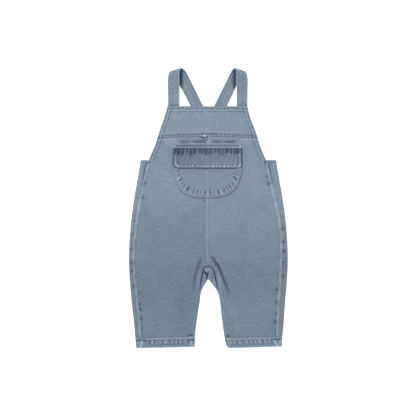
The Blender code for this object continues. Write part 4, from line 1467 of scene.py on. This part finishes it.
def stitches(name, rows, thread=BLUE_THREAD, pitch=STITCH_PITCH, width=STITCH_WIDTH):
    """One mesh of stitches along rows of (x, height, z) points, all in millimetres."""
    shape = bmesh.new()
    count = 0
    for row in rows:
        points = np.array(row, float)
        steps = np.linalg.norm(np.diff(points, axis=0), axis=1)
        run = np.concatenate([[0.0], np.cumsum(steps)])
        centres = np.arange(pitch / 2, run[-1] - pitch / 3, pitch)
        for centre in centres:
            ends = [
                Vector([np.interp(centre + d, run, points[:, k]) for k in range(3)])
                for d in (-STITCH_LENGTH / 2, STITCH_LENGTH / 2)
            ]
            middle = (ends[0] + ends[1]) / 2
            middle.y -= GARMENT_TOP / 2
            turn = (ends[1] - ends[0]).to_track_quat("X", "Z").to_matrix().to_4x4()
            size = Matrix.Diagonal((STITCH_LENGTH / 2, width / 2, width / 2.4, 1.0))
            place = Matrix.Scale(MM, 4) @ Matrix.Translation(middle) @ turn @ size
            bmesh.ops.create_uvsphere(shape, u_segments=6, v_segments=4, radius=1.0, matrix=place)
            count += 1
    mesh = bpy.data.meshes.new(name)
    shape.to_mesh(mesh)
    shape.free()
    mesh.shade_smooth()
    mesh.materials.append(thread)
    piece = bpy.data.objects.new(name, mesh)
    bpy.context.scene.collection.objects.link(piece)
    made[name] = piece
    print(f"{name}: {count} stitches")
    return piece


# %% [markdown]
# Where the rows run
#
# Each row is a line drawn a fixed way in from an edge or a seam, and laid on the same height
# function as the cloth under it, so the thread sits in the surface at every hem and gather.

# %% Rows on the front
PROUD = 0.12
EDGE_ROWS = (2.2, 6.7)
YOKE_ROWS = (1.6, 5.7)
CENTRE_ROWS = (1.4, 4.8)
LEG_HEM_ROW = 14.0
INNER_LEG_ROW = 2.0


def on_front(x, height):
    """Points of a stitch row lying on the front's face."""
    return np.stack([x, height, front_height(x, height) + PROUD], axis=-1)


def span(low, high):
    return np.arange(low, high, 1.5)


def edge_rows(side, up):
    """The two rows beside an armhole's or the bib's edge."""
    return [on_front(side * (front_edge(side, up) - inset), up) for inset in EDGE_ROWS]


def front_rows_of(side):
    rows = edge_rows(side, span(331.0, YOKE + 1))
    hem = side * span(float(read_side(INNER_EDGE, side, 8)) + 5, float(front_edge(side, 8)) - 1)
    level = LEG_HEM_ROW + 0 * hem
    row = on_front(hem, level)
    row[:, 1] += hem_rise(side, np.abs(hem), level)
    rows.append(row)
    yoke = side * span(3.0, 85.0)
    rows += [on_front(yoke, yoke_line(yoke) - below) for below in YOKE_ROWS]
    leg = span(18.0, 112.0)
    rows.append(on_front(side * (front_inner(side, leg) + INNER_LEG_ROW), leg))
    if side == LEFT:
        seam = span(152.0, 368.0)
        rows += [on_front(centre_seam(seam) - inset, seam) for inset in CENTRE_ROWS]
    return rows


stitches("left_front_stitching", front_rows_of(LEFT))
stitches("right_front_stitching", front_rows_of(RIGHT))


# %% Rows on bib, pocket, flap and straps
BIB_TOP_ROWS = (2.4, 8.4)
POCKET_ROWS = (2.2, 6.6)
FLAP_ROWS = (1.8, 7.4)


def bib_rows():
    across = span(-66.0, 63.0)
    rows = [on_front(across, BIB_TOP - below + 0 * across) for below in BIB_TOP_ROWS]
    up = span(376.0, 422.0)
    return rows + edge_rows(LEFT, up) + edge_rows(RIGHT, up)


def pocket_rows():
    rows = []
    across, down = pocket_rim()[:2]
    for inset in POCKET_ROWS:
        level = 1 - inset / POCKET_HALF
        x = POCKET_CENTRE + across * POCKET_HALF * level
        height = POCKET_MOUTH - down * POCKET_DROP * level
        z = bridged_height(x, height) + LAY_GAP + CLOTH + POCKET_RAISE + PROUD
        rows.append(np.stack([x, height, z], axis=-1))
    return rows


def flap_rows():
    def on_flap(x, height):
        return np.stack([x, height, flap_height(x, height)[0] + PROUD], axis=-1)

    rows = []
    for inset in FLAP_ROWS:
        down = span(FLAP_BOTTOM + inset + 3, 338.0)[::-1]
        across = span(FLAP_LEFT + inset + 3, FLAP_RIGHT - inset - 3)
        left = on_flap(FLAP_LEFT + inset + 0 * down, down)
        bottom = on_flap(across, FLAP_BOTTOM + inset + 1.0 + 0 * across)
        right = on_flap(FLAP_RIGHT - inset + 0 * down, down[::-1])
        rows.append(np.concatenate([left, bottom, right]))
    across = span(FLAP_LEFT + 2, FLAP_RIGHT - 2)
    rows.append(on_flap(across, FLAP_TOP - 3.8 + 0 * across))
    return rows


stitches("bib_stitching", bib_rows())
stitches("pocket_stitching", pocket_rows())
stitches("flap_stitching", flap_rows(), PALE_THREAD, FLAP_STITCH, FLAP_STITCH_WIDTH)


def strap_rows(side, lift_table, front_shift, back_shift):
    """Rows near both edges: on the outer face in front, on the inner face behind."""
    x, height, z, run = strap_points(side, lift_table, front_shift, back_shift)[:4]
    on_bib, behind = (9.5, 62.0), (88.0, 150.0)
    inner_face = STRAP_CLOTH + PROUD
    placed = [(on_bib, column, PROUD) for column in (3, 17)]
    placed += [(behind, column, inner_face) for column in (3, 14, 17)]
    rows = []
    for reach, column, lift in placed:
        on = (run[:, 0] > reach[0]) & (run[:, 0] < reach[1])
        rows.append(np.stack([x[on, column], height[on, column], z[on, column] + lift], axis=-1))
    return rows


stitches("left_strap_stitching", strap_rows(LEFT, UPPER_LIFT, *LEFT_SHIFT))
stitches("right_strap_stitching", strap_rows(RIGHT, LOWER_LIFT, *RIGHT_SHIFT))

# %% [markdown]
# The stitches on the body
#
# A table lists which stitches are sewn through each sheet, and each mesh of stitches rides on the same
# body as the cloth.

SEWN = {
    "left_front": "left_front_stitching",
    "right_front": "right_front_stitching",
    "bib": "bib_stitching",
    "pocket": "pocket_stitching",
    "pocket_flap": "flap_stitching",
    "left_strap": "left_strap_stitching",
    "right_strap": "right_strap_stitching",
}
for sewn in SEWN.values():
    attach(made[sewn], "root")
print("sheets declared:", len(CUTS))

# %% [markdown]
# Floor, light and camera
#
# The garment is seen from straight above on a white ground. A broad soft light hangs a little
# towards the straps and to the left, so that hems and creases have a lit and a shaded side, and a
# pale sky fills the rest. The camera looks straight down from far away, which keeps the outline
# as flat as a pattern.

# %% Floor
def floor_material():
    material = bpy.data.materials.new("white_ground")
    material.use_nodes = True
    shader = material.node_tree.nodes["Principled BSDF"]
    shader.inputs["Base Color"].default_value = (0.9, 0.9, 0.9, 1.0)
    shader.inputs["Roughness"].default_value = 0.9
    shader.inputs["Specular IOR Level"].default_value = 0.1
    shader.inputs["Emission Color"].default_value = (1.0, 1.0, 1.0, 1.0)
    shader.inputs["Emission Strength"].default_value = 0.6
    return material


FLOOR_HALF = 3.0
FLOOR_GAP = 0.0002
ground = bmesh.new()
bmesh.ops.create_grid(ground, x_segments=1, y_segments=1, size=FLOOR_HALF)
bmesh.ops.translate(ground, verts=ground.verts, vec=(0, 0, -FLOOR_GAP))
ground_mesh = bpy.data.meshes.new("white_ground")
ground.to_mesh(ground_mesh)
ground.free()
ground_mesh.materials.append(floor_material())
floor = bpy.data.objects.new("white_ground", ground_mesh)
bpy.context.scene.collection.objects.link(floor)
print("floor:", 2 * FLOOR_HALF, "m across")

# %% Light
SKY_STRENGTH = 0.68
SOFTBOX_SIZE = 1.6
SOFTBOX_POWER = 24.0
SOFTBOX_PLACE = (-0.9, 1.0, 1.7)

world = bpy.data.worlds.new("studio")
world.use_nodes = True
world.node_tree.nodes["Background"].inputs["Color"].default_value = (1.0, 1.0, 1.0, 1.0)
world.node_tree.nodes["Background"].inputs["Strength"].default_value = SKY_STRENGTH
bpy.context.scene.world = world

lamp = bpy.data.lights.new("softbox", "AREA")
lamp.shape = "SQUARE"
lamp.size = SOFTBOX_SIZE
lamp.energy = SOFTBOX_POWER
softbox = bpy.data.objects.new("softbox", lamp)
softbox.location = SOFTBOX_PLACE
softbox.rotation_euler = (Vector((0, 0, 0)) - softbox.location).to_track_quat("-Z", "Y").to_euler()
bpy.context.scene.collection.objects.link(softbox)
print("softbox:", SOFTBOX_SIZE, "m square,", SOFTBOX_POWER, "W")

# %% Camera
FRAME_WIDTH = 0.728
LENS = 100.0
SENSOR = 36.0
VIEW_X = -0.0006
VIEW_DISTANCE = FRAME_WIDTH * LENS / SENSOR
CLOTH_LEVEL = 0.005

lens = bpy.data.cameras.new("overhead")
lens.lens = LENS
lens.sensor_width = SENSOR
camera = bpy.data.objects.new("overhead", lens)
camera.location = (VIEW_X, 0.0, VIEW_DISTANCE + CLOTH_LEVEL)
bpy.context.scene.collection.objects.link(camera)
bpy.context.scene.camera = camera
bpy.context.scene.view_settings.view_transform = "Standard"
print("camera:", round(VIEW_DISTANCE, 2), "m above the cloth")
